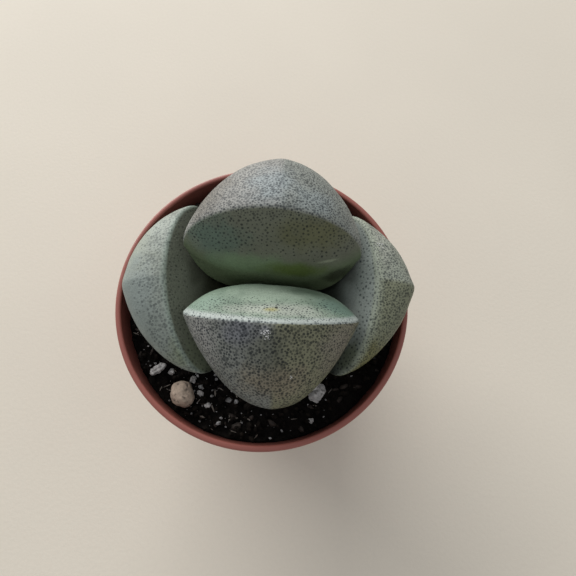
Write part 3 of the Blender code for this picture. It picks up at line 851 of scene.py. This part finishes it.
def push_out(mesh, heights):
    """Moves each vertex along its normal by its own height."""
    steps = read_vectors(mesh.vertex_normals, "vector") * heights[:, None]
    mesh.vertices.foreach_set("co", (read_vectors(mesh.vertices, "co") + steps).astype(np.float32).ravel())
    mesh.update()


def noise_over(mesh, height_at):
    """Heights by height_at(place) at a mesh's vertices."""
    return np.array([height_at(Vector(place)) for place in read_vectors(mesh.vertices, "co")])


def scatter(places, spacings, order_seed):
    """Keeps those of the given places that lie no nearer to a kept one than its spacing."""
    cell = max(spacings)
    kept, grid = [], {}
    order = list(range(len(places)))
    random.Random(order_seed).shuffle(order)
    near = [(i, j, k) for i in (-1, 0, 1) for j in (-1, 0, 1) for k in (-1, 0, 1)]
    for index in order:
        x, y, z = places[index]
        home = (int(x // cell), int(y // cell), int(z // cell))
        limit = spacings[index] ** 2
        for i, j, k in near:
            others = grid.get((home[0] + i, home[1] + j, home[2] + k), ())
            if any((x - a) ** 2 + (y - b) ** 2 + (z - c) ** 2 < limit for a, b, c in others):
                break
        else:
            grid.setdefault(home, []).append((x, y, z))
            kept.append(index)
    return kept


def ease(value, start, stop):
    """Eases from 0 to 1 as value goes from start to stop."""
    share = np.clip((value - start) / (stop - start), 0, 1)
    return share * share * (3 - 2 * share)


def dot_rule(form, dots, own, past):
    """Least distance between dots at points of a leaf, how far they have thinned out, and their size."""
    s, z = own[:, 0], own[:, 2]
    middle_z = (form.corner_z + form.apex_z) / 2
    off = np.hypot(s / (0.62 * form.half_width), (z - middle_z) / (0.75 * (form.apex_z - form.corner_z)))
    outer = dots.middle_gap + (dots.margin_gap - dots.middle_gap) * ease(off, 0.6, 1.3)
    inner = dots.face_edge_gap + (dots.face_gap - dots.face_edge_gap) * ease(-past, 0.001, 0.0045)
    gone_back = ease(past, 0.4 * dots.back_reach, dots.back_reach)
    gone_face = np.maximum.reduce([
        ease(-past, 0.6 * dots.face_reach, dots.face_reach),
        1 - ease(z, dots.face_floor, dots.face_floor + 0.003),
        1 - ease(-past, 0.5 * dots.bare_edge, dots.bare_edge),
    ])
    on_back = past > -EDGE_BORDER
    size = np.where(on_back, 1.0, dots.face_size)
    return np.where(on_back, outer, inner), np.where(on_back, gone_back, gone_face), size


def scatter_dots(mesh, own, rim, form, look, share_of_gap, seed):
    """Places and radii of the dots over a leaf's skin."""
    mesh.calc_loop_triangles()
    corners = read_vectors(mesh.loop_triangles, "vertices", np.int32)
    places = read_vectors(mesh.vertices, "co")[corners]
    area = np.linalg.norm(np.cross(places[:, 1] - places[:, 0], places[:, 2] - places[:, 0]), axis=1) / 2
    draw = np.random.default_rng(seed)
    count = int(area.sum() / look.dots.margin_gap**2 * TRIES_PER_DOT)
    picked = draw.choice(len(corners), count, p=area / area.sum())
    share = draw.random((count, 2))
    share = np.where(share.sum(1, keepdims=True) > 1, 1 - share, share)
    weights = np.stack([1 - share.sum(1), share[:, 0], share[:, 1]], 1)
    spots = (places[picked] * weights[:, :, None]).sum(1)
    past = (rim[corners[picked]] * weights).sum(1)
    gaps, gone, size = dot_rule(form, look.dots, (own[corners[picked]] * weights[:, :, None]).sum(1), past)
    live = gone < 0.98
    spots, gaps, gone, size = spots[live], gaps[live], gone[live], size[live]
    radii = share_of_gap * np.minimum(gaps, WIDEST_GAP) * size * draw.uniform(*DOT_SIZES, len(gaps))
    radii *= 1 - 0.4 * gone
    spacings = gaps * draw.uniform(*DOT_GAPS, len(gaps))
    kept = np.array(scatter(spots.tolist(), spacings.tolist(), seed))
    kept = kept[draw.random(len(kept)) > gone[kept]]
    return spots[kept], radii[kept]


def hold_dots(mesh, spots, radii):
    """Stores on each face the places and radii of the dots closest to it."""
    tree = KDTree(len(spots))
    for index, spot in enumerate(spots):
        tree.insert(spot, index)
    tree.balance()
    found = (tree.find_n(face.center, len(DOT_NAMES)) for face in mesh.polygons)
    closest = np.array([[index for place, index, distance in hits] for hits in found])
    for k, name in enumerate(DOT_NAMES):
        add_attribute(mesh, name, "FLOAT_VECTOR", "FACE", spots[closest[:, k]])
        add_attribute(mesh, name + "_radius", "FLOAT", "FACE", radii[closest[:, k]])


def crease_height(form, look, own, past):
    """A sharp fold along the keel of the outer side, from the edge to the chin."""
    ridge = np.exp(-np.abs(own[:, 0] - form.chin_s) / CREASE_WIDTH)
    length = past.max()
    return look.crease * ridge * ease(past, 0, 0.0015) * (1 - ease(past, 0.25 * length, 0.75 * length))


def make_leaf(form, seed, settings):
    first, rings, pasts, last = leaf_stations(form, settings.edge_round)
    stations, points = rings.shape[:2]
    own = np.concatenate([[first], rings.reshape(-1, 3), [last]])
    rim = np.concatenate([[pasts.min()], pasts.ravel(), [pasts.max()]])
    mesh = skin_mesh(form.name + "_fine", form.to_world(own).tolist(), stations, points)
    look = LOOKS[form.name]
    shift = Vector((seed * 3.7, seed * 1.9, seed * 5.3))

    def swell(place):
        slow = noise.noise(place * SLOW_WAVES + shift)
        quick = noise.noise(place * QUICK_WAVES + shift)
        return settings.unevenness * (slow + QUICK_SHARE * quick)

    push_out(mesh, noise_over(mesh, swell) + crease_height(form, look, own, rim))
    add_attribute(mesh, "skin", "FLOAT_VECTOR", "POINT", own)
    add_attribute(mesh, "rim", "FLOAT", "POINT", rim)
    hold_dots(mesh, *scatter_dots(mesh, own, rim, form, look, settings.dot_share, seed))
    return add_piece(form.name + "_fine", mesh, leaf_material(form, look, settings), (form.name,))


class SPLITROCK_OT_inner_leaves(bpy.types.Operator):
    """Make the two leaves of the inner pair, which face each other over the cleft"""

    bl_idname = "split_rock.inner_leaves"
    bl_label = "Inner leaves"

    def execute(self, context):
        settings = context.scene.split_rock_leaves
        make_leaf(BACK, 1, settings)
        make_leaf(FRONT, 2, settings)
        return {"FINISHED"}


class SPLITROCK_OT_outer_leaves(bpy.types.Operator):
    """Make the two leaves of the older pair, which lie lower, to the left and right"""

    bl_idname = "split_rock.outer_leaves"
    bl_label = "Outer leaves"

    def execute(self, context):
        settings = context.scene.split_rock_leaves
        make_leaf(LEFT, 3, settings)
        make_leaf(RIGHT, 4, settings)
        return {"FINISHED"}


def quarter_round(centre, radius, start, stop, steps=8):
    """Points of an arc in the profile's plane, from one angle to another in degrees."""
    angles = [math.radians(start + (stop - start) * k / steps) for k in range(steps + 1)]
    return [(centre[0] + radius * math.cos(a), centre[1] + radius * math.sin(a)) for a in angles]


def wall_radius(z):
    """Outer radius of the pot's wall under the collar at height z."""
    top = RIM_RADIUS - COLLAR_TAPER - COLLAR_STEP
    return BASE_RADIUS + (top - BASE_RADIUS) * z / (POT_HEIGHT - COLLAR_HEIGHT)


def inner_radius(z):
    """Inner radius of the pot at height z over its floor."""
    if z > POT_HEIGHT - COLLAR_HEIGHT - WALL:
        down = (POT_HEIGHT - z) / COLLAR_HEIGHT
        return RIM_RADIUS - LIP_WIDTH - COLLAR_TAPER * down
    return wall_radius(z) - WALL


def pot_profile():
    """The wall's section: floor, inner wall, lip, collar, outer wall, foot and underside."""
    floor = FOOT_RISE + BASE_THICKNESS
    shoulder = POT_HEIGHT - COLLAR_HEIGHT
    step = shoulder - WALL
    slope_top = step - COLLAR_STEP
    flat = inner_radius(floor) - FOOT_ROUND
    inside = [(0, floor), (DRAIN_CIRCLE + 2 * DRAIN_RADIUS, floor), (flat, floor)]
    inside += quarter_round((flat, floor + FOOT_ROUND), FOOT_ROUND, -90, 0)[1:]
    inside += [(inner_radius(slope_top), slope_top), (inner_radius(step + GAP), step + GAP)]
    lip_in = quarter_round((RIM_RADIUS - LIP_WIDTH + LIP_ROUND, POT_HEIGHT - LIP_ROUND), LIP_ROUND, 180, 90)
    lip_out = quarter_round((RIM_RADIUS - LIP_ROUND, POT_HEIGHT - LIP_ROUND), LIP_ROUND, 90, 0)
    skirt = RIM_RADIUS - COLLAR_TAPER
    collar = [(skirt, shoulder + LIP_ROUND)]
    collar += quarter_round((skirt - LIP_ROUND, shoulder + LIP_ROUND), LIP_ROUND, 0, -90)[1:]
    collar += [(wall_radius(shoulder), shoulder)]
    outside = quarter_round((BASE_RADIUS - FOOT_ROUND, FOOT_ROUND), FOOT_ROUND, 0, -90)
    foot = BASE_RADIUS - FOOT_WIDTH
    underside = [(foot, 0), (foot - FOOT_RISE / 2, FOOT_RISE), (DRAIN_CIRCLE + 2 * DRAIN_RADIUS, FOOT_RISE)]
    return inside + lip_in + lip_out + collar + outside + underside + [(0, FOOT_RISE)]


def turned_mesh(name, profile, sides):
    """A closed mesh turned about the Z axis from (radius, height) pairs whose ends lie on the axis."""
    rings = [circle((0, 0), radius, height, sides) for radius, height in profile[1:-1]]
    return closed_mesh(name, (0, 0, profile[0][1]), rings, (0, 0, profile[-1][1]))


def circle(centre, radius, height, sides):
    """Points evenly round an upright axis."""
    turn = [2 * math.pi * k / sides for k in range(sides)]
    return [(centre[0] + radius * math.cos(a), centre[1] + radius * math.sin(a), height) for a in turn]


def closed_mesh(name, first, rings, last):
    """A closed mesh through rings of equal length, with a single point at each end."""
    places = [first] + [place for ring in rings for place in ring] + [last]
    return skin_mesh(name, places, len(rings), len(rings[0]))


def cut_drain_holes(thing):
    """Cuts the drain holes through the base with a Boolean and applies it."""
    work = bmesh.new()
    holes = [(0, 0, FOOT_RISE)] + circle((0, 0), DRAIN_CIRCLE, FOOT_RISE, DRAIN_COUNT)
    for hole in holes:
        bmesh.ops.create_cone(
            work, cap_ends=True, segments=DRAIN_SIDES, radius1=DRAIN_RADIUS, radius2=DRAIN_RADIUS,
            depth=8 * BASE_THICKNESS, matrix=Matrix.Translation(hole),
        )
    cutter = add_object("drain_cutter", take_mesh(work, bpy.data.meshes.new("drain_cutter")))
    cut = thing.modifiers.new("drain holes", "BOOLEAN")
    cut.operation = "DIFFERENCE"
    cut.object = cutter
    shape = bpy.data.meshes.new_from_object(thing.evaluated_get(bpy.context.evaluated_depsgraph_get()))
    thing.modifiers.clear()
    thing.data = shape
    bpy.data.objects.remove(cutter, do_unlink=True)
    return shape


def pot_material(settings):
    material, tree, shader = new_material("pot_plastic", 0.42, specular=0.45)
    colour, grain = mottled(tree, settings.plastic, 60, 5200, 0.07, 0.05)
    soil_level = POT_HEIGHT - SOIL_DEPTH
    x, y, height = add_node(tree, "SeparateXYZ", (add_node(tree, "TexCoord").outputs["Object"],)).outputs
    from_axis = add_node(tree, "CombineXYZ", (x, y, 0.0)).outputs[0]
    lip_inside = RIM_RADIUS - LIP_WIDTH
    inside = fade(tree, vector_maths(tree, "LENGTH", from_axis), lip_inside + 0.0003, lip_inside)
    shoulder = POT_HEIGHT - COLLAR_HEIGHT
    inside = maths(tree, "MULTIPLY", inside, fade(tree, height, shoulder, shoulder + LIP_ROUND))
    # Painted shade: the inner wall turns darker from the lip down to the soil
    shade_down_wall = fade(tree, height, POT_HEIGHT - LIP_ROUND, soil_level, 0.25, 0.75)
    colour = mix(tree, maths(tree, "MULTIPLY", inside, shade_down_wall), colour, INNER_WALL_SHADE)
    dust = use_group(tree, dust_group(), (soil_level, SOIL_DEPTH * 1.2, 900.0))
    dust = maths(tree, "MULTIPLY", dust, inside)
    colour = mix(tree, maths(tree, "MULTIPLY", dust, 0.6), colour, POT_DUST)
    tree.links.new(colour, shader.inputs["Base Color"])
    tree.links.new(fade(tree, grain, 0.2, 0.8, 0.36, 0.52), shader.inputs["Roughness"])
    set_bump(tree, shader, grain, 0.00003)
    return material


class SPLITROCK_OT_pot(bpy.types.Operator):
    """Make the plastic nursery pot"""

    bl_idname = "split_rock.pot"
    bl_label = "Pot"

    def execute(self, context):
        settings = context.scene.split_rock_pot
        mesh = turned_mesh("pot_fine", pot_profile(), settings.sides)
        pot = add_piece("pot_fine", mesh, pot_material(settings), ("pot",))
        shape = cut_drain_holes(pot)
        shape.set_sharp_from_angle(angle=math.radians(SHARP_ANGLE))
        return {"FINISHED"}


def join_tree(things):
    """A search tree over the surfaces of several pieces."""
    work = bmesh.new()
    for thing in things:
        work.from_mesh(thing.data)
    tree = BVHTree.FromBMesh(work)
    work.free()
    return tree


def leaf_tree():
    return join_tree([bpy.data.objects[form.name + "_fine"] for form in (BACK, FRONT, LEFT, RIGHT)])


def lowest_over(tree, x, y, radius):
    """Height of the lowest leaf surface over a spot and around it."""
    lowest = POT_HEIGHT
    for spot in [(x, y, 0), *circle((x, y), radius, 0, 8)]:
        hit = tree.ray_cast(Vector(spot), Vector((0, 0, 1)))[0]
        if hit is not None:
            lowest = min(lowest, hit.z)
    return lowest


def soil_relief(x, y):
    """Height of the open soil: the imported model's lumps, with finer ones on them."""
    spot = Vector((x / SOIL_LUMP, y / SOIL_LUMP, SOIL_SEED))
    lumps = noise.noise(spot) + 0.5 * noise.noise(spot * 2.3)
    fine = 0.45 * noise.noise(spot * 4.3) + 0.32 * noise.noise(spot * 9.0)
    return POT_HEIGHT - SOIL_DEPTH + SOIL_RELIEF * (lumps + fine)


def soil_mesh(tree):
    """The soil's bumpy top, then its side along the pot's wall and its underside on the pot's floor."""
    outer = inner_radius(POT_HEIGHT - SOIL_DEPTH) - GAP / 3
    rings = []
    for k in range(1, SOIL_RINGS + 1):
        ring = []
        for x, y, z in circle((0, 0), outer * k / SOIL_RINGS, 0, SOIL_SIDES):
            under_leaf = lowest_over(tree, x, y, outer / SOIL_RINGS) - SOIL_CLEARANCE
            ring.append((x, y, min(soil_relief(x, y), under_leaf)))
        rings.append(ring)
    floor = FOOT_RISE + BASE_THICKNESS + GAP / 3
    for height in (POT_HEIGHT - COLLAR_HEIGHT - WALL - COLLAR_STEP, floor + FOOT_ROUND, floor):
        radius = inner_radius(height) - GAP
        if height == floor:
            radius -= FOOT_ROUND
        rings.append(circle((0, 0), radius, height, SOIL_SIDES))
    middle = min(soil_relief(0, 0), lowest_over(tree, 0, 0, outer / SOIL_RINGS) - SOIL_CLEARANCE)
    return closed_mesh("soil_fine", (0, 0, middle), rings, (0, 0, floor))


def soil_material(settings):
    return grainy_material("soil_mix", settings.colour, 0.85, 0.12, (420, 3000), (0.45, 0.4), 0.0006)


class SPLITROCK_OT_soil(bpy.types.Operator):
    """Make the body of the potting mix"""

    bl_idname = "split_rock.soil"
    bl_label = "Soil"

    def execute(self, context):
        mesh = soil_mesh(leaf_tree())
        add_piece("soil_fine", mesh, soil_material(context.scene.split_rock_soil), ("soil",))
        return {"FINISHED"}


def crown_material():
    return grainy_material("crown_tissue", CROWN_COLOUR, 0.7, 0.5, (300, 1800), (0.3, 0.2), 0.0003)


def finer_copy(node, cuts, rough_height, rough_scale):
    """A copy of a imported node's mesh with more faces, rounded between them and roughened by noise."""
    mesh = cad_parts[node].data.copy()
    mesh.name = node + "_fine"
    work = bmesh.new()
    work.from_mesh(mesh)
    bmesh.ops.remove_doubles(work, verts=work.verts, dist=0.000001)
    for k in range(cuts):
        bmesh.ops.subdivide_edges(work, edges=work.edges, cuts=1, use_grid_fill=True, smooth=1.0)
    bmesh.ops.recalc_face_normals(work, faces=work.faces)
    take_mesh(work, mesh)

    def rough(place):
        return rough_height * noise.turbulence(place * rough_scale, 3, False)

    push_out(mesh, noise_over(mesh, rough))
    return mesh


class SPLITROCK_OT_crown(bpy.types.Operator):
    """Make the short crown that the leaves grow from"""

    bl_idname = "split_rock.crown"
    bl_label = "Crown"

    def execute(self, context):
        mesh = finer_copy("crown", 1, 0.0001, 400)
        add_piece("crown_fine", mesh, crown_material(), ("crown",))
        return {"FINISHED"}


def stone_material(name, colour, pits):
    material, tree, shader = new_material(name, 0.85)
    shade, grain = mottled(tree, colour, 700, 4200, 0.22, 0.12)
    dust = use_group(tree, dust_group(), (POT_HEIGHT - SOIL_DEPTH, 0.005, 1500.0))
    shade = mix(tree, maths(tree, "MULTIPLY", dust, 0.75), shade, STONE_DUST)
    hollows = fade(tree, clouds(tree, 1050, 1), 0.62, 0.70)
    shade = mix(tree, maths(tree, "MULTIPLY", hollows, 0.55), shade, STONE_HOLLOWS)
    tree.links.new(shade, shader.inputs["Base Color"])
    set_bump(tree, shader, maths(tree, "SUBTRACT", grain, hollows), pits)
    return material


class SPLITROCK_OT_stones(bpy.types.Operator):
    """Make the tan pebble and the grains of perlite"""

    bl_idname = "split_rock.stones"
    bl_label = "Stones"

    def execute(self, context):
        mesh = finer_copy("pebble", 2, 0.00022, 700)
        tan = stone_material("tan_stone", PEBBLE_COLOUR, 0.0003)
        add_piece("pebble_fine", mesh, tan, ("pebble",))
        white = stone_material("perlite", PERLITE_COLOUR, 0.0004)
        for node in sorted(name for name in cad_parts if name.startswith("perlite_")):
            grain = finer_copy(node, 2, 0.00040, 1100)
            add_piece(node + "_fine", grain, white, (node,))
        return {"FINISHED"}


def soil_top():
    """A function that gives the point of the soil's surface at (x, y)."""
    soil = join_tree([bpy.data.objects["soil_fine"]])
    return lambda x, y: soil.ray_cast(Vector((x, y, POT_HEIGHT)), Vector((0, 0, -1)))[0]


def open_spots(count, draw, tree, clearance, gathered=0.0):
    """Spots on the open soil, away from leaves. With gathered near 1, most lie round the front left."""
    top_at = soil_top()
    outer = inner_radius(POT_HEIGHT - SOIL_DEPTH) - BITS_MARGIN
    found = []
    while len(found) < count:
        radius = outer * math.sqrt(draw.random())
        turn = draw.uniform(0, 2 * math.pi)
        x, y = radius * math.cos(turn), radius * math.sin(turn)
        off = math.remainder(turn - math.radians(GRIT_HEADING), 2 * math.pi) / math.radians(GRIT_SPREAD)
        if draw.random() < gathered * (1 - math.exp(-off * off)):
            continue
        top = top_at(x, y)
        if top is None or lowest_over(tree, x, y, clearance) < top.z + 2 * clearance:
            continue
        found.append(top)
    return found


def lumpy_shapes(detail, lumpiness, count=10):
    """A few uneven balls of unit size, as places and faces, to be drawn from for small loose bits."""
    work = bmesh.new()
    bmesh.ops.create_icosphere(work, subdivisions=detail, radius=0.5)
    ball = [vert.co.copy() for vert in work.verts]
    faces = np.array([[vert.index for vert in face.verts] for face in work.faces])
    work.free()
    shapes = []
    for k in range(count):
        shift = Vector((k * 7.1, k * 3.3, k * 5.7))
        shapes.append(np.array([co * (1 + lumpiness * noise.noise(co * 3 + shift)) for co in ball]))
    return shapes, faces


def lumps_from(name, places, faces):
    """One mesh from the places of many lumps that share their faces."""
    steps = np.arange(len(places)) * len(places[0])
    mesh = bpy.data.meshes.new(name)
    faces = (faces + steps[:, None, None]).reshape(-1, 3)
    mesh.from_pydata(np.concatenate(places).tolist(), [], faces.tolist())
    return mesh


def lumps_mesh(name, shapes, faces, placed, draw, flatness=0.0):
    """One mesh of many small lumps. Each has a place and its length, width and height, and lies at random.

    With flatness near 1 they lie flat, and only their heading is random.
    """
    places = []
    for place, size in placed:
        tilt = 1 - flatness
        axis = Vector((tilt * draw.gauss(0, 1), tilt * draw.gauss(0, 1), draw.gauss(0, 1)))
        turn = np.array(Matrix.Rotation(draw.uniform(0, 6.3), 3, axis))
        places.append((draw.choice(shapes) * size) @ turn.T + np.array(place))
    return lumps_from(name, places, faces)


def bits_material(name, colour, roughness, spread, specular=0.3):
    return grainy_material(name, colour, roughness, specular, (900, 4000), (spread, 0.15), 0.0002)


# The larger bits near the pebble: place on the soil, length, width and height in millimetres, and heading
SPLINTERS_SEEN = (
    (-11.4, -32.1, 2.9, 0.55, 0.45, -60), (-5.4, -34.6, 3.4, 0.50, 0.40, 18),
    (-11.4, -27.6, 2.6, 0.6, 0.5, 100), (-1.2, -34.3, 2.5, 0.45, 0.35, -25),
    (-13.9, -34.7, 2.0, 0.5, 0.4, -12),
)
GRIT_SEEN = (
    (-9.2, -36.0, 1.6, 1.2, 1.0, 40), (-7.2, -29.5, 1.9, 1.4, 1.1, 10), (-5.0, -29.9, 1.4, 1.1, 1.0, 70),
    (-2.1, -31.0, 1.2, 1.0, 0.8, 0), (-15.6, -26.5, 1.5, 1.2, 1.0, 30), (-18.0, -24.1, 1.3, 0.7, 0.7, 80),
    (-12.1, -28.8, 1.0, 0.8, 0.7, 15), (16.4, -33.4, 1.3, 0.9, 0.8, 60), (-24.7, -22.4, 1.3, 1.0, 0.9, 20),
    (-8.6, -34.6, 0.9, 0.7, 0.6, 0),
)
BARK_SEEN = (
    (-4.4, -36.6, 4.6, 2.9, 0.7, 12), (5.6, -34.8, 2.6, 1.6, 0.6, -30), (-20.5, -29.5, 3.0, 1.8, 0.7, 50),
)


def seen_bits_mesh(name, shapes, faces, bits, draw):
    """Lumps at given places on the soil, each turned to its heading and a little tilted."""
    top_at = soil_top()
    places = []
    for x, y, length, width, height, heading in bits:
        size = np.array([length, width, height]) * MM
        tilt = Matrix.Rotation(draw.uniform(-0.25, 0.25), 3, "Y")
        turn = Matrix.Rotation(math.radians(heading), 3, "Z") @ tilt
        spot = top_at(x * MM, y * MM) + Vector((0, 0, height * MM * 0.35 + SEEN_LIFT))
        places.append((draw.choice(shapes) * size) @ np.array(turn).T + np.array(spot))
    return lumps_from(name, places, faces)


class SPLITROCK_OT_loose_bits(bpy.types.Operator):
    """Scatter crumbs of peat, slivers of bark, grit and splinters over the open soil"""

    bl_idname = "split_rock.loose_bits"
    bl_label = "Loose bits"

    def execute(self, context):
        settings = context.scene.split_rock_soil
        tree = leaf_tree()
        draw = random.Random(settings.seed)
        round_shapes, sharp_shapes = lumpy_shapes(2, 0.55), lumpy_shapes(1, 0.8)
        peat = bits_material("peat", PEAT_COLOUR, 0.9, 0.7, specular=0.15)
        bark = bits_material("bark", BARK_COLOUR, 0.6, 0.5)
        pale = bits_material("grit", GRIT_COLOUR, 0.85, 0.75)
        straw = bits_material("splinter", SPLINTER_COLOUR, 0.7, 0.4)

        def grain(least, span, power, lift):
            size = least + span * draw.random() ** power
            return size * lift, (size, size * draw.uniform(0.6, 1), size * draw.uniform(0.5, 0.9))

        def sliver():
            length = draw.uniform(*BARK_LENGTHS)
            return BARK_LIFT, (length, length * draw.uniform(0.2, 0.6), length * draw.uniform(0.08, 0.2))

        def splinter():
            return SPLINTER_LIFT, (draw.uniform(*SPLINTER_LENGTHS), SPLINTER_WIDTH, SPLINTER_HEIGHT)

        def spread(name, spots, draw_bit, shapes, material, slot, flatness=0.0):
            placed = []
            for spot in spots:
                lift, sizes = draw_bit()
                placed.append((spot + Vector((0, 0, lift)), sizes))
            add_piece(name, lumps_mesh(name, *shapes, placed, draw, flatness), material)

        spread(
            "soil_crumbs", open_spots(settings.crumbs, draw, tree, 0.0006),
            lambda: grain(*CRUMB_SIZES, lift=0.25), round_shapes, peat, "soil_mix",
        )
        spread(
            "bark_bits", open_spots(settings.bark_bits, draw, tree, 0.0009),
            sliver, sharp_shapes, bark, "soil_mix", 0.8,
        )
        spread(
            "grit", open_spots(settings.grit, draw, tree, 0.0005, 0.93),
            lambda: grain(*GRIT_SIZES, lift=0.4), sharp_shapes, pale, "perlite",
        )
        spread(
            "splinters", open_spots(settings.splinters, draw, tree, 0.0009, 0.8),
            splinter, sharp_shapes, straw, "soil_mix", 0.85,
        )
        for name, shapes, bits, material, slot in (
            ("grit_seen", round_shapes, GRIT_SEEN, pale, "perlite"),
            ("splinters_seen", sharp_shapes, SPLINTERS_SEEN, straw, "soil_mix"),
            ("bark_seen", sharp_shapes, BARK_SEEN, bark, "soil_mix"),
        ):
            add_piece(name, seen_bits_mesh(name, *shapes, bits, draw), material)
        return {"FINISHED"}


# White residue of dried water: leaf, place in its frame and reach in millimetres, and number of grains
RESIDUE = (
    ("leaf_front", (1.0, 18.0, 22.7), 1.0, 18), ("leaf_front", (0.3, 18.8, 22.3), 0.8, 9),
    ("leaf_front", (-5.5, 27.1, 16.2), 0.5, 4), ("leaf_right", (-13.0, 29.0, 9.0), 2.2, 12),
)


class SPLITROCK_OT_residue(bpy.types.Operator):
    """Put the white grains of dried residue on the leaves"""

    bl_idname = "split_rock.residue"
    bl_label = "Residue"

    def execute(self, context):
        draw = random.Random(7)
        forms = {form.name: form for form in (FRONT, RIGHT)}
        placed = []
        for leaf, spot, reach, count in RESIDUE:
            skin = join_tree([bpy.data.objects[leaf + "_fine"]])
            for k in range(count):
                near = np.array([spot]) * MM + [[draw.gauss(0, reach / 2) * MM for axis in range(3)]]
                on_skin = skin.find_nearest(Vector(forms[leaf].to_world(near)[0]))[0]
                size = draw.uniform(*RESIDUE_SIZES)
                placed.append((on_skin, (size, size * 0.8, size * 0.6)))
        mesh = lumps_mesh("residue", *lumpy_shapes(1, 0.8), placed, draw)
        add_piece("residue", mesh, bits_material("residue", RESIDUE_COLOUR, 0.6, 0.1))
        return {"FINISHED"}


def floor_material(settings):
    return grainy_material("floor", settings.floor, 0.7, 0.2, (9, 700), (0.02, 0.01), 0.00005)


class SPLITROCK_OT_stage(bpy.types.Operator):
    """Set up the floor, the soft light and the camera"""

    bl_idname = "split_rock.stage"
    bl_label = "Stage"

    def execute(self, context):
        settings = context.scene.split_rock_stage
        scene = context.scene
        work = bmesh.new()
        bmesh.ops.create_grid(work, x_segments=8, y_segments=8, size=FLOOR_HALF)
        floor = add_object("floor", take_mesh(work, bpy.data.meshes.new("floor")))
        floor.data.materials.append(floor_material(settings))
        world = bpy.data.worlds.new("soft_sky")
        world.use_nodes = True
        sky = world.node_tree.nodes["Background"]
        sky.inputs["Color"].default_value = SKY_COLOUR
        sky.inputs["Strength"].default_value = settings.sky
        scene.world = world
        key = bpy.data.lights.new("window", "AREA")
        key.shape = "RECTANGLE"
        key.size, key.size_y = WINDOW_SIZE
        key.energy = settings.key_power
        key.color = WINDOW_COLOUR
        window = add_object("window", key)
        turn, rise = math.radians(WINDOW_HEADING), math.radians(WINDOW_ELEVATION)
        along = Vector((-math.sin(turn) * math.cos(rise), math.cos(turn) * math.cos(rise), math.sin(rise)))
        window.location = along * WINDOW_DISTANCE
        aim = Vector((0, 0, POT_HEIGHT)) - window.location
        window.rotation_euler = aim.to_track_quat("-Z", "Y").to_euler()
        camera = add_object("camera", bpy.data.cameras.new("camera"))
        camera.data.lens = CAMERA_LENS
        camera.data.sensor_width = CAMERA_SENSOR
        camera.data.clip_start = CAMERA_NEAREST
        pitch = Matrix.Rotation(math.radians(CAMERA_PITCH), 4, "X")
        roll = Matrix.Rotation(math.radians(CAMERA_ROLL), 4, "Z")
        camera.matrix_world = Matrix.Translation(CAMERA_PLACE) @ (pitch @ roll)
        scene.camera = camera
        scene.view_settings.view_transform = "Standard"
        return {"FINISHED"}


SETTINGS = (
    ("split_rock_leaves", SplitRockLeafSettings),
    ("split_rock_pot", SplitRockPotSettings),
    ("split_rock_soil", SplitRockSoilSettings),
    ("split_rock_stage", SplitRockStageSettings),
)
OPERATORS = (
    SPLITROCK_OT_stage,
    SPLITROCK_OT_inner_leaves,
    SPLITROCK_OT_outer_leaves,
    SPLITROCK_OT_pot,
    SPLITROCK_OT_crown,
    SPLITROCK_OT_soil,
    SPLITROCK_OT_stones,
    SPLITROCK_OT_loose_bits,
    SPLITROCK_OT_residue,
)


class SPLITROCK_PT_panel(bpy.types.Panel):
    """Lists the pieces of the plant and their settings"""

    bl_idname = "SPLITROCK_PT_panel"
    bl_label = "Split rock"
    bl_space_type = "VIEW_3D"
    bl_region_type = "UI"
    bl_category = "Split rock"

    def draw(self, context):
        for name, kind in SETTINGS:
            box = self.layout.box()
            for key in kind.__annotations__:
                box.prop(getattr(context.scene, name), key)
        for operator in OPERATORS:
            self.layout.operator(operator.bl_idname)


def register():
    for name, kind in SETTINGS:
        bpy.utils.register_class(kind)
        setattr(bpy.types.Scene, name, PointerProperty(type=kind))
    for operator in OPERATORS:
        bpy.utils.register_class(operator)
    bpy.utils.register_class(SPLITROCK_PT_panel)


def unregister():
    bpy.utils.unregister_class(SPLITROCK_PT_panel)
    for operator in reversed(OPERATORS):
        bpy.utils.unregister_class(operator)
    for name, kind in reversed(SETTINGS):
        delattr(bpy.types.Scene, name)
        bpy.utils.unregister_class(kind)


def main():
    register()
    bpy.ops.split_rock.stage()
    bpy.ops.split_rock.inner_leaves()
    bpy.ops.split_rock.outer_leaves()
    bpy.ops.split_rock.pot()
    bpy.ops.split_rock.crown()
    bpy.ops.split_rock.soil()
    bpy.ops.split_rock.stones()
    bpy.ops.split_rock.loose_bits()
    bpy.ops.split_rock.residue()


if __name__ == "__main__":
    main()
